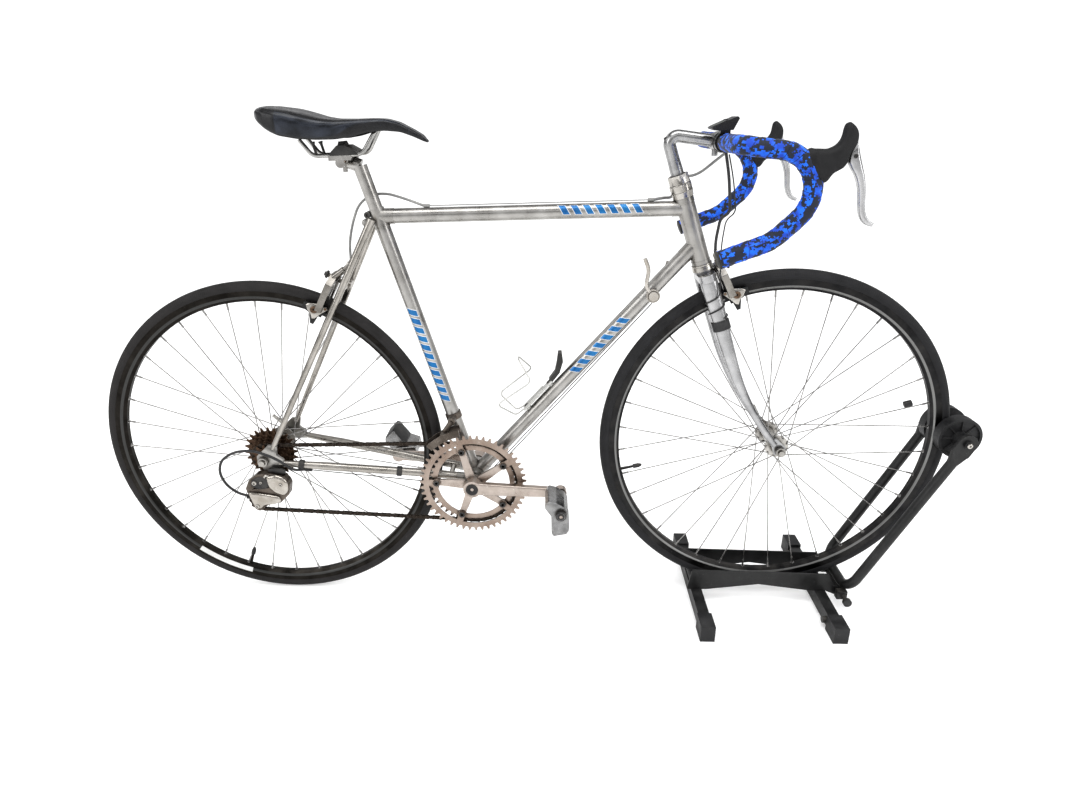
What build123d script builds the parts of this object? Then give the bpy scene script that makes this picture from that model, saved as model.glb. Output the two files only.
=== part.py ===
from build123d import *
import math
import os

# Racing bicycle with its front wheel in a floor stand. Millimetres, +X forward,
# +Y to the rider's left, +Z up. The bicycle is drawn with both wheels on level
# ground and the rear axle above x = 0, then tipped nose-up about that axle by
# the height at which the stand holds the front wheel.

# ---- wheels ----
tyre_diameter = 668.0
tyre_width = 23.0
rim_outer_diameter = 633.0
rim_depth = 20.0
rim_width = 20.0
rim_inner_width = 9.0
spoke_count = 36
spoke_crosses = 3
spoke_diameter = 2.0
nipple_length = 12.0
nipple_diameter = 3.6
valve_diameter = 6.0
valve_length = 38.0
flange_thickness = 3.0
front_flange_diameter = 44.0
front_flange_half = 33.0
rear_flange_diameter = 50.0
rear_flange_left = 34.0
rear_flange_right = 21.0
hub_barrel_diameter = 24.0
axle_diameter = 9.5
running_gap = 0.05
front_over_locknut = 100.0
rear_over_locknut = 126.0

front_valve_turn = 192.0
rear_valve_turn = 250.0
front_lacing_turn = 4.0
rear_lacing_turn = 9.0
front_lever_turn = 115.0
rear_lever_turn = 140.0

# ---- frame ----
wheelbase = 978.0
chain_stay_length = 401.3
bottom_bracket_drop = 67.5
seat_angle = 74.5
head_angle = 72.0
fork_rake = 41.0
top_tube_height = 777.0
seat_tube_diameter = 26.0
seat_tube_wall = 1.0
top_tube_diameter = 26.0
down_tube_diameter = 26.0
head_tube_diameter = 32.0
head_tube_start = 375.0
head_tube_above = 20.0
down_tube_joint = 415.0
lug_wall = 0.6
head_socket = 24.0
down_socket = 31.0
seat_socket = 27.0
lug_collar = 10.0
shell_diameter = 39.0
shell_width = 68.0
seat_tube_top = 14.0
chain_stay_diameter = 16.0
seat_stay_diameter = 14.0
seat_stay_end_diameter = 10.0
seat_stay_straight = 30.0
chain_stay_end_diameter = 11.0
chain_stay_taper = 90.0
stay_top_half = 19.0
stay_bridge_diameter = 12.0
brake_bridge_share = 0.28
chain_stay_bridge_back = 46.0
binder_back = 12.0
dropout_thickness = 6.0

# ---- fork, steering and bars ----
steerer_diameter = 25.4
crown_start = 350.0
crown_length = 13.0
blade_top_half = 29.0
fork_dropout_thickness = 5.0
quill_diameter = 22.2
stem_length = 89.5
stem_drop = 14.4
stem_height = 73.4
stem_neck_diameter = 20.8
stem_bend_radius = 13.0
bar_clamp_diameter = 25.4
bar_diameter = 23.8
bar_half_width = 172.0
bar_reach_flat = 51.0
bar_ramp = 8.0
bar_hook_radius = 58.0
bar_drop_tail = 81.0
bar_lower_run = 47.0
bar_corner_radius = 40.0
bar_tape_diameter = 29.2
bar_tape_start = 42.0
bar_centre_sleeve = 34.0

# ---- brakes ----
pad_gap = 2.0
pad_ahead = 13.0
caliper_half = 31.0

# ---- drive ----
chain_pitch = 12.7
outer_ring_teeth = 50
inner_ring_teeth = 42
inner_ring_plane = 40.0
ring_spacing = 6.5
ring_thickness = 2.0
ring_bolt_radius = 72.0
ring_band = 14.0
spider_turn = 33.0
sprocket_teeth = (12, 13, 14, 16, 18, 21, 24)
sprocket_spacing = 5.0
sprocket_thickness = 1.8
smallest_sprocket_plane = 58.5
chain_sprocket = 1
tooth_height = 3.6
chain_width = 6.8
chain_gap = 3.5
chain_straight = 45.0
chain_sprocket_straight = 30.0
chain_height = 8.4
crank_length = 170.0
crank_turn = -2.1
spindle_diameter = 17.0
pedal_half_tread = 84.0
pedal_width = 76.0
pedal_body_width = 60.0
pedal_turn_left = -144.5
pulley_radius = 16.0
pulley_pitch_radius = 20.5

# ---- stand ----
front_lift = 22.6
stand_half_pitch = 126.5
stand_foot_width = 26.0
stand_foot_height = 26.0
stand_foot_length = 322.0
stand_cap_height = 34.0
stand_cap_length = 42.0
stand_plate_half_gap = 38.0
stand_plate_thickness = 3.0
stand_plate_top = 76.0
stand_plate_bottom = 30.0
stand_plate_half_length = 146.0
stand_arm_diameter = 19.0
stand_arm_half = 61.0
stand_arm_bend = 34.0
stand_arm_ahead = 170.8
stand_arm_height = 47.0
stand_hinge_height = 30.0
stand_hinge_diameter = 10.0
stand_grip_radius = 40.0
stand_grip_ahead = 4.0
stand_grip_above = 20.4
stand_grip_inner = 16.5
stand_grip_outer = 38.0
stand_head_width = 36.0
stand_head_thickness = 6.0
stand_adjuster_side = 112.0
stand_seat_gap = 0.4

# ---- saddle ----
post_extension = 88.2
post_slack = 0.03
rail_half_gap = 22.0
rail_diameter = 7.0

# ---- cables ----
housing_diameter = 5.0
rear_housing_diameter = 4.4
cable_diameter = 1.8
wire_diameter = 2.2
sensor_travel = 84.0
sensor_length = 17.0

# ---- derived places ----
tyre_radius = tyre_diameter / 2
rim_outer_radius = rim_outer_diameter / 2
rim_inner_radius = rim_outer_radius - rim_depth
axle_radius = axle_diameter / 2
rear_axle = Vector(0, 0, tyre_radius)
front_axle = Vector(wheelbase, 0, tyre_radius)
shell_x = math.sqrt(chain_stay_length**2 - bottom_bracket_drop**2)
bottom_bracket = Vector(shell_x, 0, tyre_radius - bottom_bracket_drop)
seat_slope = math.radians(seat_angle)
head_slope = math.radians(head_angle)
seat_up = Vector(-math.cos(seat_slope), 0, math.sin(seat_slope))
steer_up = Vector(-math.cos(head_slope), 0, math.sin(head_slope))
steer_ahead = Vector(math.sin(head_slope), 0, math.cos(head_slope))
steer_foot = front_axle - steer_ahead * fork_rake
park_pitch = math.degrees(math.asin(front_lift / wheelbase))
across = Vector(0, 1, 0)


def on_steerer(height, ahead=0.0, side=0.0):
    """A point of the steering axis, with offsets ahead of it and to the side."""
    return steer_foot + steer_up * height + steer_ahead * ahead + across * side


def on_seat_tube(height, side=0.0):
    """A point of the seat tube's axis at a height along it from the crank axle."""
    return bottom_bracket + seat_up * height + across * side


def rod(start, end, radius, end_radius=None):
    """A round bar between two points, tapered when a second radius is given."""
    line = end - start
    plane = Plane(origin=start, z_dir=line)
    if end_radius is None or abs(end_radius - radius) < 1e-6:
        return Part() + Solid.make_cylinder(radius, line.length, plane)
    return Part() + Solid.make_cone(radius, end_radius, line.length, plane)


def pipe(points, radii, radius):
    """A round bar along straight runs joined by tangent arcs."""
    path = FilletPolyline(*points, radius=radii)
    section = Plane(origin=path @ 0, z_dir=path % 0) * Circle(radius)
    return Part() + sweep(section, path=path)


def side_plate(outline, side, thickness, corner=0.0):
    """A flat plate in the X-Z plane, centred on a side offset."""
    face = make_face(Polyline(*[(x, z) for x, z in outline], close=True))
    if corner > 0:
        face = fillet(face.vertices(), corner)
    placed = Plane(origin=(0, side + thickness / 2, 0), x_dir=(1, 0, 0), z_dir=(0, -1, 0)) * face
    return Part() + extrude(placed, amount=thickness)


def ring_about(centre, profile):
    """A ring about the Y direction through a centre, from (side, radius) points."""
    points = [centre + Vector(0, side, radius) for side, radius in profile]
    face = make_face(Polyline(*points, close=True))
    return Part() + revolve(face, axis=Axis(centre, (0, 1, 0)), revolution_arc=360)


def disc(centre, radius, side, thickness):
    """A disc facing sideways, centred on a side offset."""
    middle = Vector(centre.X, side, centre.Z)
    start = middle - across * (thickness / 2)
    return rod(start, start + across * thickness, radius)


def mirrored(part):
    """The same piece on the other side of the bicycle."""
    return Part() + mirror(part, about=Plane.XZ)


# ---- wheels ----
def tyre(centre):
    """Tyre: a round casing seated on the rim's flat outer edge."""
    casing_radius = tyre_width / 2
    casing_centre = centre + Vector(0, 0, tyre_radius - casing_radius)
    section = Plane(origin=casing_centre, x_dir=(0, 1, 0), z_dir=(1, 0, 0)) * Circle(casing_radius)
    casing = Part() + revolve(section, axis=Axis(centre, (0, 1, 0)), revolution_arc=360)
    return casing - disc(centre, rim_outer_radius, 0, 2 * tyre_width)


def rim(centre, valve_turn):
    """Rim with brake tracks and the valve that stands in from it."""
    half = rim_width / 2
    track = rim_outer_radius - rim_depth * 0.62
    inner = rim_inner_width / 2
    profile = [
        (-half, rim_outer_radius),
        (half, rim_outer_radius),
        (half, track),
        (inner, rim_inner_radius),
        (-inner, rim_inner_radius),
        (-half, track),
    ]
    hoop = ring_about(centre, profile)
    turn = math.radians(valve_turn)
    outward = Vector(math.cos(turn), 0, math.sin(turn))
    outer_end = centre + outward * (rim_inner_radius + 2)
    inner_end = centre + outward * (rim_inner_radius - valve_length)
    return hoop + rod(outer_end, inner_end, valve_diameter / 2, valve_diameter / 3)


def spokes(centre, left_half, right_half, flange_diameter, turn):
    """Spokes laced over crosses, heads outside and inside the flanges by turns."""
    per_side = spoke_count // 2
    step = 360.0 / per_side
    hole_radius = flange_diameter / 2 - 3.0
    head_offset = flange_thickness / 2 + spoke_diameter / 2 + 0.05
    rim_side = 2.0
    laced = Part()
    for side, half, shift in ((1, left_half, 0.0), (-1, right_half, step / 2)):
        for index in range(per_side):
            lead = 1 if index % 2 == 0 else -1
            hub_turn = math.radians(turn + shift + index * step)
            rim_turn = hub_turn + math.radians(lead * spoke_crosses * step)
            head_side = side * (half + lead * head_offset)
            start = centre + Vector(hole_radius * math.cos(hub_turn), head_side, hole_radius * math.sin(hub_turn))
            reach = rim_inner_radius - 0.4
            end = centre + Vector(reach * math.cos(rim_turn), side * rim_side, reach * math.sin(rim_turn))
            line = (end - start).normalized()
            joint = end - line * nipple_length
            laced += rod(start, joint, spoke_diameter / 2)
            laced += rod(joint, end, nipple_diameter / 2)
    for side, half in ((1, left_half), (-1, right_half)):
        laced -= disc(centre, flange_diameter / 2, side * half, flange_thickness)
    return laced


def hub(centre, left_half, right_half, flange_diameter, over_locknut):
    """Hub shell: barrel, two flanges and end caps, bored to run on its axle."""
    shell = disc(centre, hub_barrel_diameter / 2, (left_half - right_half) / 2, left_half + right_half)
    shell += disc(centre, flange_diameter / 2, left_half, flange_thickness)
    shell += disc(centre, flange_diameter / 2, -right_half, flange_thickness)
    cap = over_locknut / 2 - 6.0
    shell += disc(centre, 10.5, 0, 2 * cap)
    return shell - disc(centre, axle_radius + running_gap, 0, 2 * over_locknut)


def axle_set(centre, over_locknut, blade_thickness, lever_turn):
    """Hollow axle, locknuts and quick-release skewer clamped in the dropouts."""
    half = over_locknut / 2
    outer = half + blade_thickness
    made = disc(centre, axle_radius, 0, 2 * half + 2 * blade_thickness)
    for side in (1, -1):
        made += disc(centre, 8.5, side * (half - 2.6), 5.0)
        made += disc(centre, 9.0, side * (outer + 4.0), 8.0)
    made += disc(centre, 5.0, -(outer + 9.5), 5.0)
    turn = math.radians(lever_turn)
    tip = Vector(math.cos(turn), 0, math.sin(turn))
    knuckle = centre + across * (outer + 9.0)
    made += disc(centre, 7.0, outer + 10.0, 6.0)
    lever_end = knuckle + tip * 46 + across * 6
    made += rod(knuckle, lever_end, 4.5, 3.5)
    return made


# ---- frame tubes ----
top_tube_z = top_tube_height
seat_cluster = on_seat_tube((top_tube_z - bottom_bracket.Z) / math.sin(seat_slope))
head_cluster_height = (top_tube_z - steer_foot.Z) / math.sin(head_slope)
head_cluster = on_steerer(head_cluster_height)
down_cluster = on_steerer(down_tube_joint)
head_top = head_cluster_height + head_tube_above
cluster_height = (seat_cluster - bottom_bracket).length
post_diameter = seat_tube_diameter - 2 * seat_tube_wall
down_way = (bottom_bracket - down_cluster).normalized()
down_above = Vector(down_way.Z, 0, -down_way.X)
if down_above.Z < 0:
    down_above = down_above * -1


def on_down_tube(height, above=0.0, side=0.0):
    """A point by the down tube: height along it from the crank axle, and above it."""
    return bottom_bracket - down_way * height + down_above * above + across * side


def head_tube():
    """Head tube with its two lug sockets, bored for the steerer."""
    outer = head_tube_diameter / 2
    made = rod(on_steerer(head_tube_start), on_steerer(head_top), outer)
    made += rod(on_steerer(head_tube_start), on_steerer(head_tube_start + lug_collar), outer + lug_wall)
    made += rod(on_steerer(head_top - lug_collar), on_steerer(head_top), outer + lug_wall)
    top_way = (seat_cluster - head_cluster).normalized()
    for root, way, reach, radius in (
        (head_cluster, top_way, head_socket, top_tube_diameter / 2),
        (down_cluster, down_way, down_socket, down_tube_diameter / 2),
    ):
        socket = rod(root, root + way * reach, radius + lug_wall)
        made += socket - rod(root, root + way * (reach + 5), radius)
    return made - rod(on_steerer(head_tube_start - 5), on_steerer(head_top + 5), steerer_diameter / 2 + 1.2)


def seat_lug():
    """Seat lug: a sleeve round the seat tube's top, a socket and the binder ears."""
    low = cluster_height - 20
    high = cluster_height + seat_tube_top
    outer = seat_tube_diameter / 2
    made = rod(on_seat_tube(low), on_seat_tube(high), outer + lug_wall)
    way = (head_cluster - seat_cluster).normalized()
    socket = rod(seat_cluster, seat_cluster + way * seat_socket, top_tube_diameter / 2 + lug_wall)
    made += socket - rod(seat_cluster, seat_cluster + way * (seat_socket + 5), top_tube_diameter / 2)
    back = Vector(-math.sin(seat_slope), 0, -math.cos(seat_slope))
    root = on_seat_tube(cluster_height - 3)
    ear = root + back * (outer + binder_back)
    made += rod(root, ear, 5.0)
    made += rod(ear - across * 9, ear + across * 9, 6.0)
    made += rod(ear - across * 13, ear + across * 13, 5.0)
    return made - rod(on_seat_tube(0), on_seat_tube(high + 5), outer)


def seat_tube():
    """Seat tube, bored at the top for the seatpost."""
    top = cluster_height + seat_tube_top
    made = rod(on_seat_tube(shell_diameter / 2 - 2), on_seat_tube(top), seat_tube_diameter / 2)
    return made - rod(on_seat_tube(top - 75), on_seat_tube(top + 1), post_diameter / 2)


def bottom_bracket_shell():
    """Bottom bracket shell with its four sockets, bored for the spindle."""
    made = disc(bottom_bracket, shell_diameter / 2, 0, shell_width)
    seat_end = shell_diameter / 2 + 12
    made += rod(bottom_bracket, on_seat_tube(seat_end), seat_tube_diameter / 2 + lug_wall)
    down_end = on_down_tube(shell_diameter / 2 + 14)
    made += rod(bottom_bracket, down_end, down_tube_diameter / 2 + lug_wall)
    for side in (1, -1):
        inner, outer = chain_stay_run(side)[0:2]
        way = (outer - inner).normalized()
        made += rod(inner, inner + way * 26, chain_stay_diameter / 2 + lug_wall)
        made -= rod(inner + way * 6, inner + way * 60, chain_stay_diameter / 2)
    made -= disc(bottom_bracket, spindle_diameter / 2 + 1.0, 0, 2 * shell_width)
    made -= rod(on_seat_tube(shell_diameter / 2 - 2), on_seat_tube(seat_end + 9), seat_tube_diameter / 2)
    made -= rod(on_down_tube(shell_diameter / 2 - 2), on_down_tube(shell_diameter / 2 + 23), down_tube_diameter / 2)
    return made


def chain_stay_run(side):
    """Centre points of one chain stay, from the shell to the dropout."""
    start = Vector(bottom_bracket.X - 8, side * 20, bottom_bracket.Z + 1)
    waist = Vector(bottom_bracket.X - 75, side * 25, bottom_bracket.Z + 13)
    end = Vector(28, side * (rear_over_locknut + dropout_thickness) / 2, rear_axle.Z - 6)
    return [start, waist, end]


def chain_stays():
    """Two chain stays, tapered towards the dropouts."""
    made = Part()
    for side in (1, -1):
        start, waist, end = chain_stay_run(side)
        way = (waist - start).normalized()
        back = (end - waist).normalized()
        taper = end - back * chain_stay_taper
        stay = pipe([start + way * 6, waist, taper], 260, chain_stay_diameter / 2)
        stay += rod(taper, end, chain_stay_diameter / 2, chain_stay_end_diameter / 2)
        made += stay
    return made - rear_dropouts()


def seat_stay_run(side):
    """Ends of one seat stay, from the seat lug to the dropout."""
    top = seat_cluster + Vector(-9, side * stay_top_half, -3)
    end = Vector(20, side * (rear_over_locknut + dropout_thickness) / 2, rear_axle.Z + 24)
    return top, end


def seat_stays():
    """Two tapered seat stays with capped tops beside the seat lug."""
    made = Part()
    sleeve = rod(on_seat_tube(0), on_seat_tube(cluster_height + 80), seat_tube_diameter / 2 + lug_wall)
    for side in (1, -1):
        top, end = seat_stay_run(side)
        way = (end - top).normalized()
        taper = end - way * seat_stay_straight
        stay = rod(top, taper, seat_stay_diameter / 2, seat_stay_end_diameter / 2) - sleeve
        made += stay + rod(taper, end, seat_stay_end_diameter / 2)
    return made - rear_dropouts()


def stay_bridges():
    """Brake bridge between the seat stays and a bridge between the chain stays."""
    top, end = seat_stay_run(1)
    spot = top + (end - top) * brake_bridge_share
    reach = spot.Y
    brake = rod(Vector(spot.X, -reach, spot.Z), Vector(spot.X, reach, spot.Z), stay_bridge_diameter / 2)
    brake += rod(Vector(spot.X - 9, 0, spot.Z + 2), Vector(spot.X + 9, 0, spot.Z - 2), 8.0)
    start, waist = chain_stay_run(1)[0:2]
    share = (bottom_bracket.X - chain_stay_bridge_back - start.X) / (waist.X - start.X)
    place = start + (waist - start) * share
    low = rod(Vector(place.X, -place.Y, place.Z), place, stay_bridge_diameter / 2 - 1)
    return brake + low - seat_stays() - chain_stays()


def rear_dropouts():
    """Two rear dropouts; the right one carries the derailleur hanger."""
    made = Part()
    x0, z0 = rear_axle.X, rear_axle.Z
    for side in (1, -1):
        outline = [
            (x0 - 12, z0 - 12),
            (x0 + 12, z0 - 14),
            (x0 + 38, z0 - 14),
            (x0 + 38, z0 + 2),
            (x0 + 26, z0 + 12),
            (x0 + 30, z0 + 30),
            (x0 + 12, z0 + 32),
            (x0 - 12, z0 + 10),
        ]
        middle = side * (rear_over_locknut / 2 + dropout_thickness / 2)
        plate = side_plate(outline, middle, dropout_thickness)
        if side < 0:
            hanger = [(x0 - 6, z0 - 8), (x0 + 16, z0 - 8), (x0 + 14, z0 - 34), (x0 + 2, z0 - 34)]
            plate += side_plate(hanger, middle, dropout_thickness, 3.0)
        made += plate - disc(rear_axle, axle_radius, middle, 3 * dropout_thickness)
    return made


# ---- headset ----
def headset_cups():
    """Pressed head races: one above and one below the head tube."""
    lower = rod(on_steerer(head_tube_start - 8), on_steerer(head_tube_start), 19.0, 17.5)
    upper = rod(on_steerer(head_top), on_steerer(head_top + 10), 17.5, 19.0)
    bore = rod(on_steerer(head_tube_start - 12), on_steerer(head_top + 20), steerer_diameter / 2 + 1.2)
    return (lower + upper) - bore


def headset_locknut():
    """Adjusting race, washer and locknut screwed on the steerer's top."""
    base = head_top + 10.4
    made = rod(on_steerer(base), on_steerer(base + 11), 18.5)
    made += rod(on_steerer(base + 11), on_steerer(base + 14), 17.0)
    made += rod(on_steerer(base + 14), on_steerer(base + 24), 18.0, 16.5)
    return made - rod(on_steerer(base - 1), on_steerer(base + 30), steerer_diameter / 2)


headset_top = head_top + 34.4


# ---- fork ----
def blade_centre(travel, side):
    """A point of a fork blade: straight down the steering line, then raked ahead."""
    height = crown_start + 2 - travel
    length = crown_start + 2
    bend = max(0.0, travel - length * 0.42) / (length * 0.58)
    ahead = fork_rake * bend**2
    spread = blade_top_half + ((front_over_locknut + fork_dropout_thickness) / 2 - blade_top_half) * travel / length
    return on_steerer(height, ahead, side * spread)


blade_sections = (
    (0.0, 15.0),
    (0.13, 14.7),
    (0.27, 13.3),
    (0.45, 11.5),
    (0.6, 9.2),
    (0.75, 7.4),
    (0.88, 6.8),
    (1.0, 6.2),
)


def blade_wide_half(share):
    """Half the blade's width across the bicycle at a share of its length."""
    return 10.0 - 4.0 * share


def fork():
    """Steerer, crown, two tapering raked blades and dropouts, brazed as one."""
    made = rod(on_steerer(crown_start), on_steerer(headset_top - 3), steerer_diameter / 2)
    made += rod(on_steerer(head_tube_start - 12), on_steerer(head_tube_start - 8.4), 17.0)
    made -= rod(on_steerer(headset_top - 150), on_steerer(headset_top + 5), quill_diameter / 2)
    crown_half = blade_top_half + 12
    crown_plane = Plane(origin=on_steerer(crown_start + crown_length / 2), x_dir=(0, 1, 0), z_dir=steer_up)
    crown = Part() + extrude(crown_plane * SlotOverall(2 * crown_half, 30), amount=crown_length / 2, both=True)
    made += crown
    length = crown_start + 2
    for side in (1, -1):
        sections = []
        for share, long_half in blade_sections:
            travel = share * (length - 14)
            centre = blade_centre(travel, side)
            ahead = blade_centre(travel + 2, side)
            wide_half = blade_wide_half(share)
            plane = Plane(origin=centre, x_dir=(0, 1, 0), z_dir=ahead - centre)
            sections.append(plane * Ellipse(wide_half, long_half))
        made += Part() + loft(sections)
        x0, z0 = front_axle.X, front_axle.Z
        tip = blade_centre(length - 20, side)
        outline = [
            (x0 - 10, z0 - 8),
            (x0 + 9, z0 - 8),
            (x0 + 10, z0 + 8),
            (tip.X + 6, tip.Z + 8),
            (tip.X - 6, tip.Z + 4),
        ]
        middle = side * ((front_over_locknut + fork_dropout_thickness) / 2)
        made += side_plate(outline, middle, fork_dropout_thickness, 2.0) - disc(front_axle, axle_radius, middle, 15)
    return made


# ---- stem and bars ----
stem_corner = on_steerer(headset_top + stem_height)
bar_centre = stem_corner + Vector(stem_length, 0, -stem_drop)


def stem():
    """Quill stem: the post in the steerer, a tight-cornered neck and the bar clamp."""
    made = rod(on_steerer(headset_top - 60), on_steerer(headset_top + 14), quill_diameter / 2)
    neck_start = on_steerer(headset_top + 30)
    made += rod(on_steerer(headset_top + 14), neck_start, quill_diameter / 2, stem_neck_diameter / 2)
    way = (bar_centre - stem_corner).normalized()
    neck_end = bar_centre - way * (bar_clamp_diameter / 2 + 2)
    made += pipe([neck_start, stem_corner, neck_end], stem_bend_radius, stem_neck_diameter / 2)
    made += disc(bar_centre, bar_clamp_diameter / 2 + 4, 0, 34)
    made += rod(bar_centre + Vector(-8, 0, -22), bar_centre + Vector(-8, 0, -8), 5.0)
    return made - disc(bar_centre, bar_clamp_diameter / 2, 0, 60)


def bar_points(side):
    """Corner points of one half of the bar, from its centre to the drop's end."""
    drop = math.radians(bar_ramp)
    lower = math.radians(138)
    tail = math.radians(161)
    radius = bar_hook_radius
    flat_end = bar_centre + Vector(bar_reach_flat * math.cos(drop), 0, -bar_reach_flat * math.sin(drop))
    hook = flat_end + Vector(-radius * math.sin(drop), 0, -radius * math.cos(drop))
    half_turn = (lower - drop) / 4
    far = radius / math.cos(half_turn)
    first = math.pi / 2 - drop - half_turn
    second = math.pi / 2 - drop - 3 * half_turn
    last = math.pi / 2 - drop - 4 * half_turn
    corner_a = hook + Vector(far * math.cos(first), 0, far * math.sin(first))
    corner_b = hook + Vector(far * math.cos(second), 0, far * math.sin(second))
    hook_end = hook + Vector(radius * math.cos(last), 0, radius * math.sin(last))
    bend = hook_end + Vector(math.cos(lower), 0, -math.sin(lower)) * bar_lower_run
    end = bend + Vector(math.cos(tail), 0, -math.sin(tail)) * bar_drop_tail
    outward = across * (side * bar_half_width)
    return [bar_centre, bar_centre + outward, corner_a + outward, corner_b + outward, bend + outward, end + outward]


bar_radii = [bar_corner_radius, 0.98 * bar_hook_radius, 0.98 * bar_hook_radius, 80.0]


def bar_path(side, start, end_trim=0.0):
    """One side's path from a distance out from the stem to the drop's end."""
    points = bar_points(side)
    first = bar_centre + across * (side * start)
    last = points[-1]
    way = (last - points[-2]).normalized()
    return [first] + points[1:-1] + [last - way * end_trim]


def handlebar():
    """Drop bar with a thicker centre sleeve held in the stem."""
    made = disc(bar_centre, bar_clamp_diameter / 2, 0, 2 * bar_centre_sleeve)
    for side in (1, -1):
        made += pipe(bar_path(side, bar_centre_sleeve - 2), bar_radii, bar_diameter / 2)
    return made


def bar_tape():
    """Wrapped tape round each half of the bar."""
    made = Part()
    for side in (1, -1):
        outer = pipe(bar_path(side, bar_tape_start, 1.0), bar_radii, bar_tape_diameter / 2)
        inner = pipe(bar_path(side, bar_centre_sleeve - 2), bar_radii, bar_diameter / 2)
        made += outer - inner
    return made


hood_origin = bar_points(-1)[2] + across * bar_half_width


def lever_hoods():
    """Rubber-covered lever bodies with tall horns, one on each hook."""
    x0, z0 = hood_origin.X, hood_origin.Z
    body = [
        (x0 - 4, z0 + 6),
        (x0 + 24, z0 + 5),
        (x0 + 38, z0 + 11),
        (x0 + 44, z0 + 20),
        (x0 + 66, z0 + 18),
        (x0 + 68, z0 + 9),
        (x0 + 61, z0 + 2),
        (x0 + 61, z0 - 15),
        (x0 + 52, z0 - 22),
        (x0 + 36, z0 - 29),
        (x0 + 27, z0 - 41),
        (x0 + 8, z0 - 32),
    ]
    horn = [
        (x0 + 38, z0 + 11),
        (x0 + 44.5, z0 + 23),
        (x0 + 45, z0 + 36),
        (x0 + 50.5, z0 + 40.5),
        (x0 + 59, z0 + 36),
        (x0 + 66, z0 + 24),
        (x0 + 68, z0 + 9),
    ]
    tape = pipe(bar_path(-1, bar_tape_start), bar_radii, bar_tape_diameter / 2 + 0.1)
    right = side_plate(body, -bar_half_width, 27.0, 3.0) + side_plate(horn, -bar_half_width, 19.0, 2.0)
    right -= tape
    return right + mirrored(right)


def brake_levers():
    """Alloy lever blades hanging from the hoods, hooked at their tips."""
    x0, z0 = hood_origin.X, hood_origin.Z
    front = [
        (x0 + 70, z0 + 11),
        (x0 + 79, z0 - 16),
        (x0 + 87, z0 - 46),
        (x0 + 89.5, z0 - 78),
        (x0 + 95.5, z0 - 92),
        (x0 + 107, z0 - 100),
    ]
    back = [
        (x0 + 103, z0 - 106),
        (x0 + 91, z0 - 99),
        (x0 + 81.5, z0 - 80),
        (x0 + 77.5, z0 - 50),
        (x0 + 70, z0 - 28),
        (x0 + 58, z0 - 12),
        (x0 + 58, z0 + 4),
    ]
    blade = side_plate(front + back, -bar_half_width, 15.0, 1.5)
    return (blade + mirrored(blade)) - lever_hoods()


# ---- brakes ----
def caliper(pivot, outward, ahead, bolt_back, anchor):
    """Side-pull caliper arms on their pivot bolt, arched over the tyre."""
    plane = Plane(origin=pivot, x_dir=(0, 1, 0), z_dir=ahead)
    up = 1 if (plane.y_dir.dot(outward)) > 0 else -1
    drop = (pivot - caliper_axle(pivot)).length - rim_outer_radius + 8
    outline = [
        (-16, 9 * up),
        (16, 9 * up),
        (31, -8 * up),
        (31, -drop * up),
        (21, -drop * up),
        (20, -10 * up),
        (12, -6 * up),
        (-12, -6 * up),
        (-20, -10 * up),
        (-21, -drop * up),
        (-31, -drop * up),
        (-31, -8 * up),
    ]
    face = fillet(make_face(Polyline(*outline, close=True)).vertices(), 2.5)
    made = Part() + extrude(plane * face, amount=6, both=True)
    made += rod(pivot + ahead * 14, pivot + ahead * bolt_back, 4.0)
    root = pivot + outward * 4 + across * -14
    reach = anchor - root
    made += rod(root, root + reach * 0.6, 6.0)
    made += rod(root + reach * 0.5, anchor, 4.5)
    return made


def caliper_axle(pivot):
    """The wheel axle nearest to a caliper."""
    return front_axle if pivot.X > wheelbase / 2 else rear_axle


def brake_pads(pivot, outward, ahead):
    """Two brake shoes beside the rim's tracks, each with its wheel guide."""
    axle = caliper_axle(pivot)
    pad_radius = rim_outer_radius - 8
    made = Part()
    foot = axle + outward * pad_radius + ahead * pad_ahead
    guide = [(-19, 7), (-14, 11), (20, 7), (20, -4), (4, -9), (-2, -27), (-8, -27), (-12, -8)]
    for side in (1, -1):
        centre = foot + across * (side * (rim_width / 2 + pad_gap + 4.5))
        plane = Plane(origin=centre, x_dir=ahead, z_dir=(0, 1, 0))
        made += Part() + (plane * Box(42, 11, 9))
        sign = 1 if plane.y_dir.dot(outward) > 0 else -1
        face = make_face(Polyline(*[(a, u * sign) for a, u in guide], close=True))
        outer = Plane(origin=centre + across * (side * 6), x_dir=ahead, z_dir=(0, 1, 0))
        made += Part() + extrude(outer * face, amount=1.5, both=True)
    return made


crown_bolt = on_steerer(crown_start + crown_length / 2)
front_brake_way = (crown_bolt - front_axle).normalized()
front_brake_ahead = Vector(front_brake_way.Z, 0, -front_brake_way.X)
front_pivot = crown_bolt + front_brake_ahead * 28
bridge_spot = seat_stay_run(1)[0] + (seat_stay_run(1)[1] - seat_stay_run(1)[0]) * brake_bridge_share
rear_bolt = Vector(bridge_spot.X, 0, bridge_spot.Z)
rear_brake_way = (rear_bolt - rear_axle).normalized()
rear_brake_back = Vector(-rear_brake_way.Z, 0, rear_brake_way.X)
rear_pivot = rear_bolt + rear_brake_back * 24
front_anchor = front_pivot + front_brake_way * 30 + across * -16
rear_anchor = rear_pivot + rear_brake_way * 41 - rear_brake_back * 19 + across * -11


def front_brake():
    """Front caliper, bolted to the fork crown."""
    way = (front_pivot - front_axle).normalized()
    return caliper(front_pivot, way, front_brake_ahead, -12.5, front_anchor) - fork() - front_brake_pads()


def front_brake_pads():
    """Front brake shoes."""
    way = (front_pivot - front_axle).normalized()
    return brake_pads(front_pivot, way, Vector(way.Z, 0, -way.X))


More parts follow.
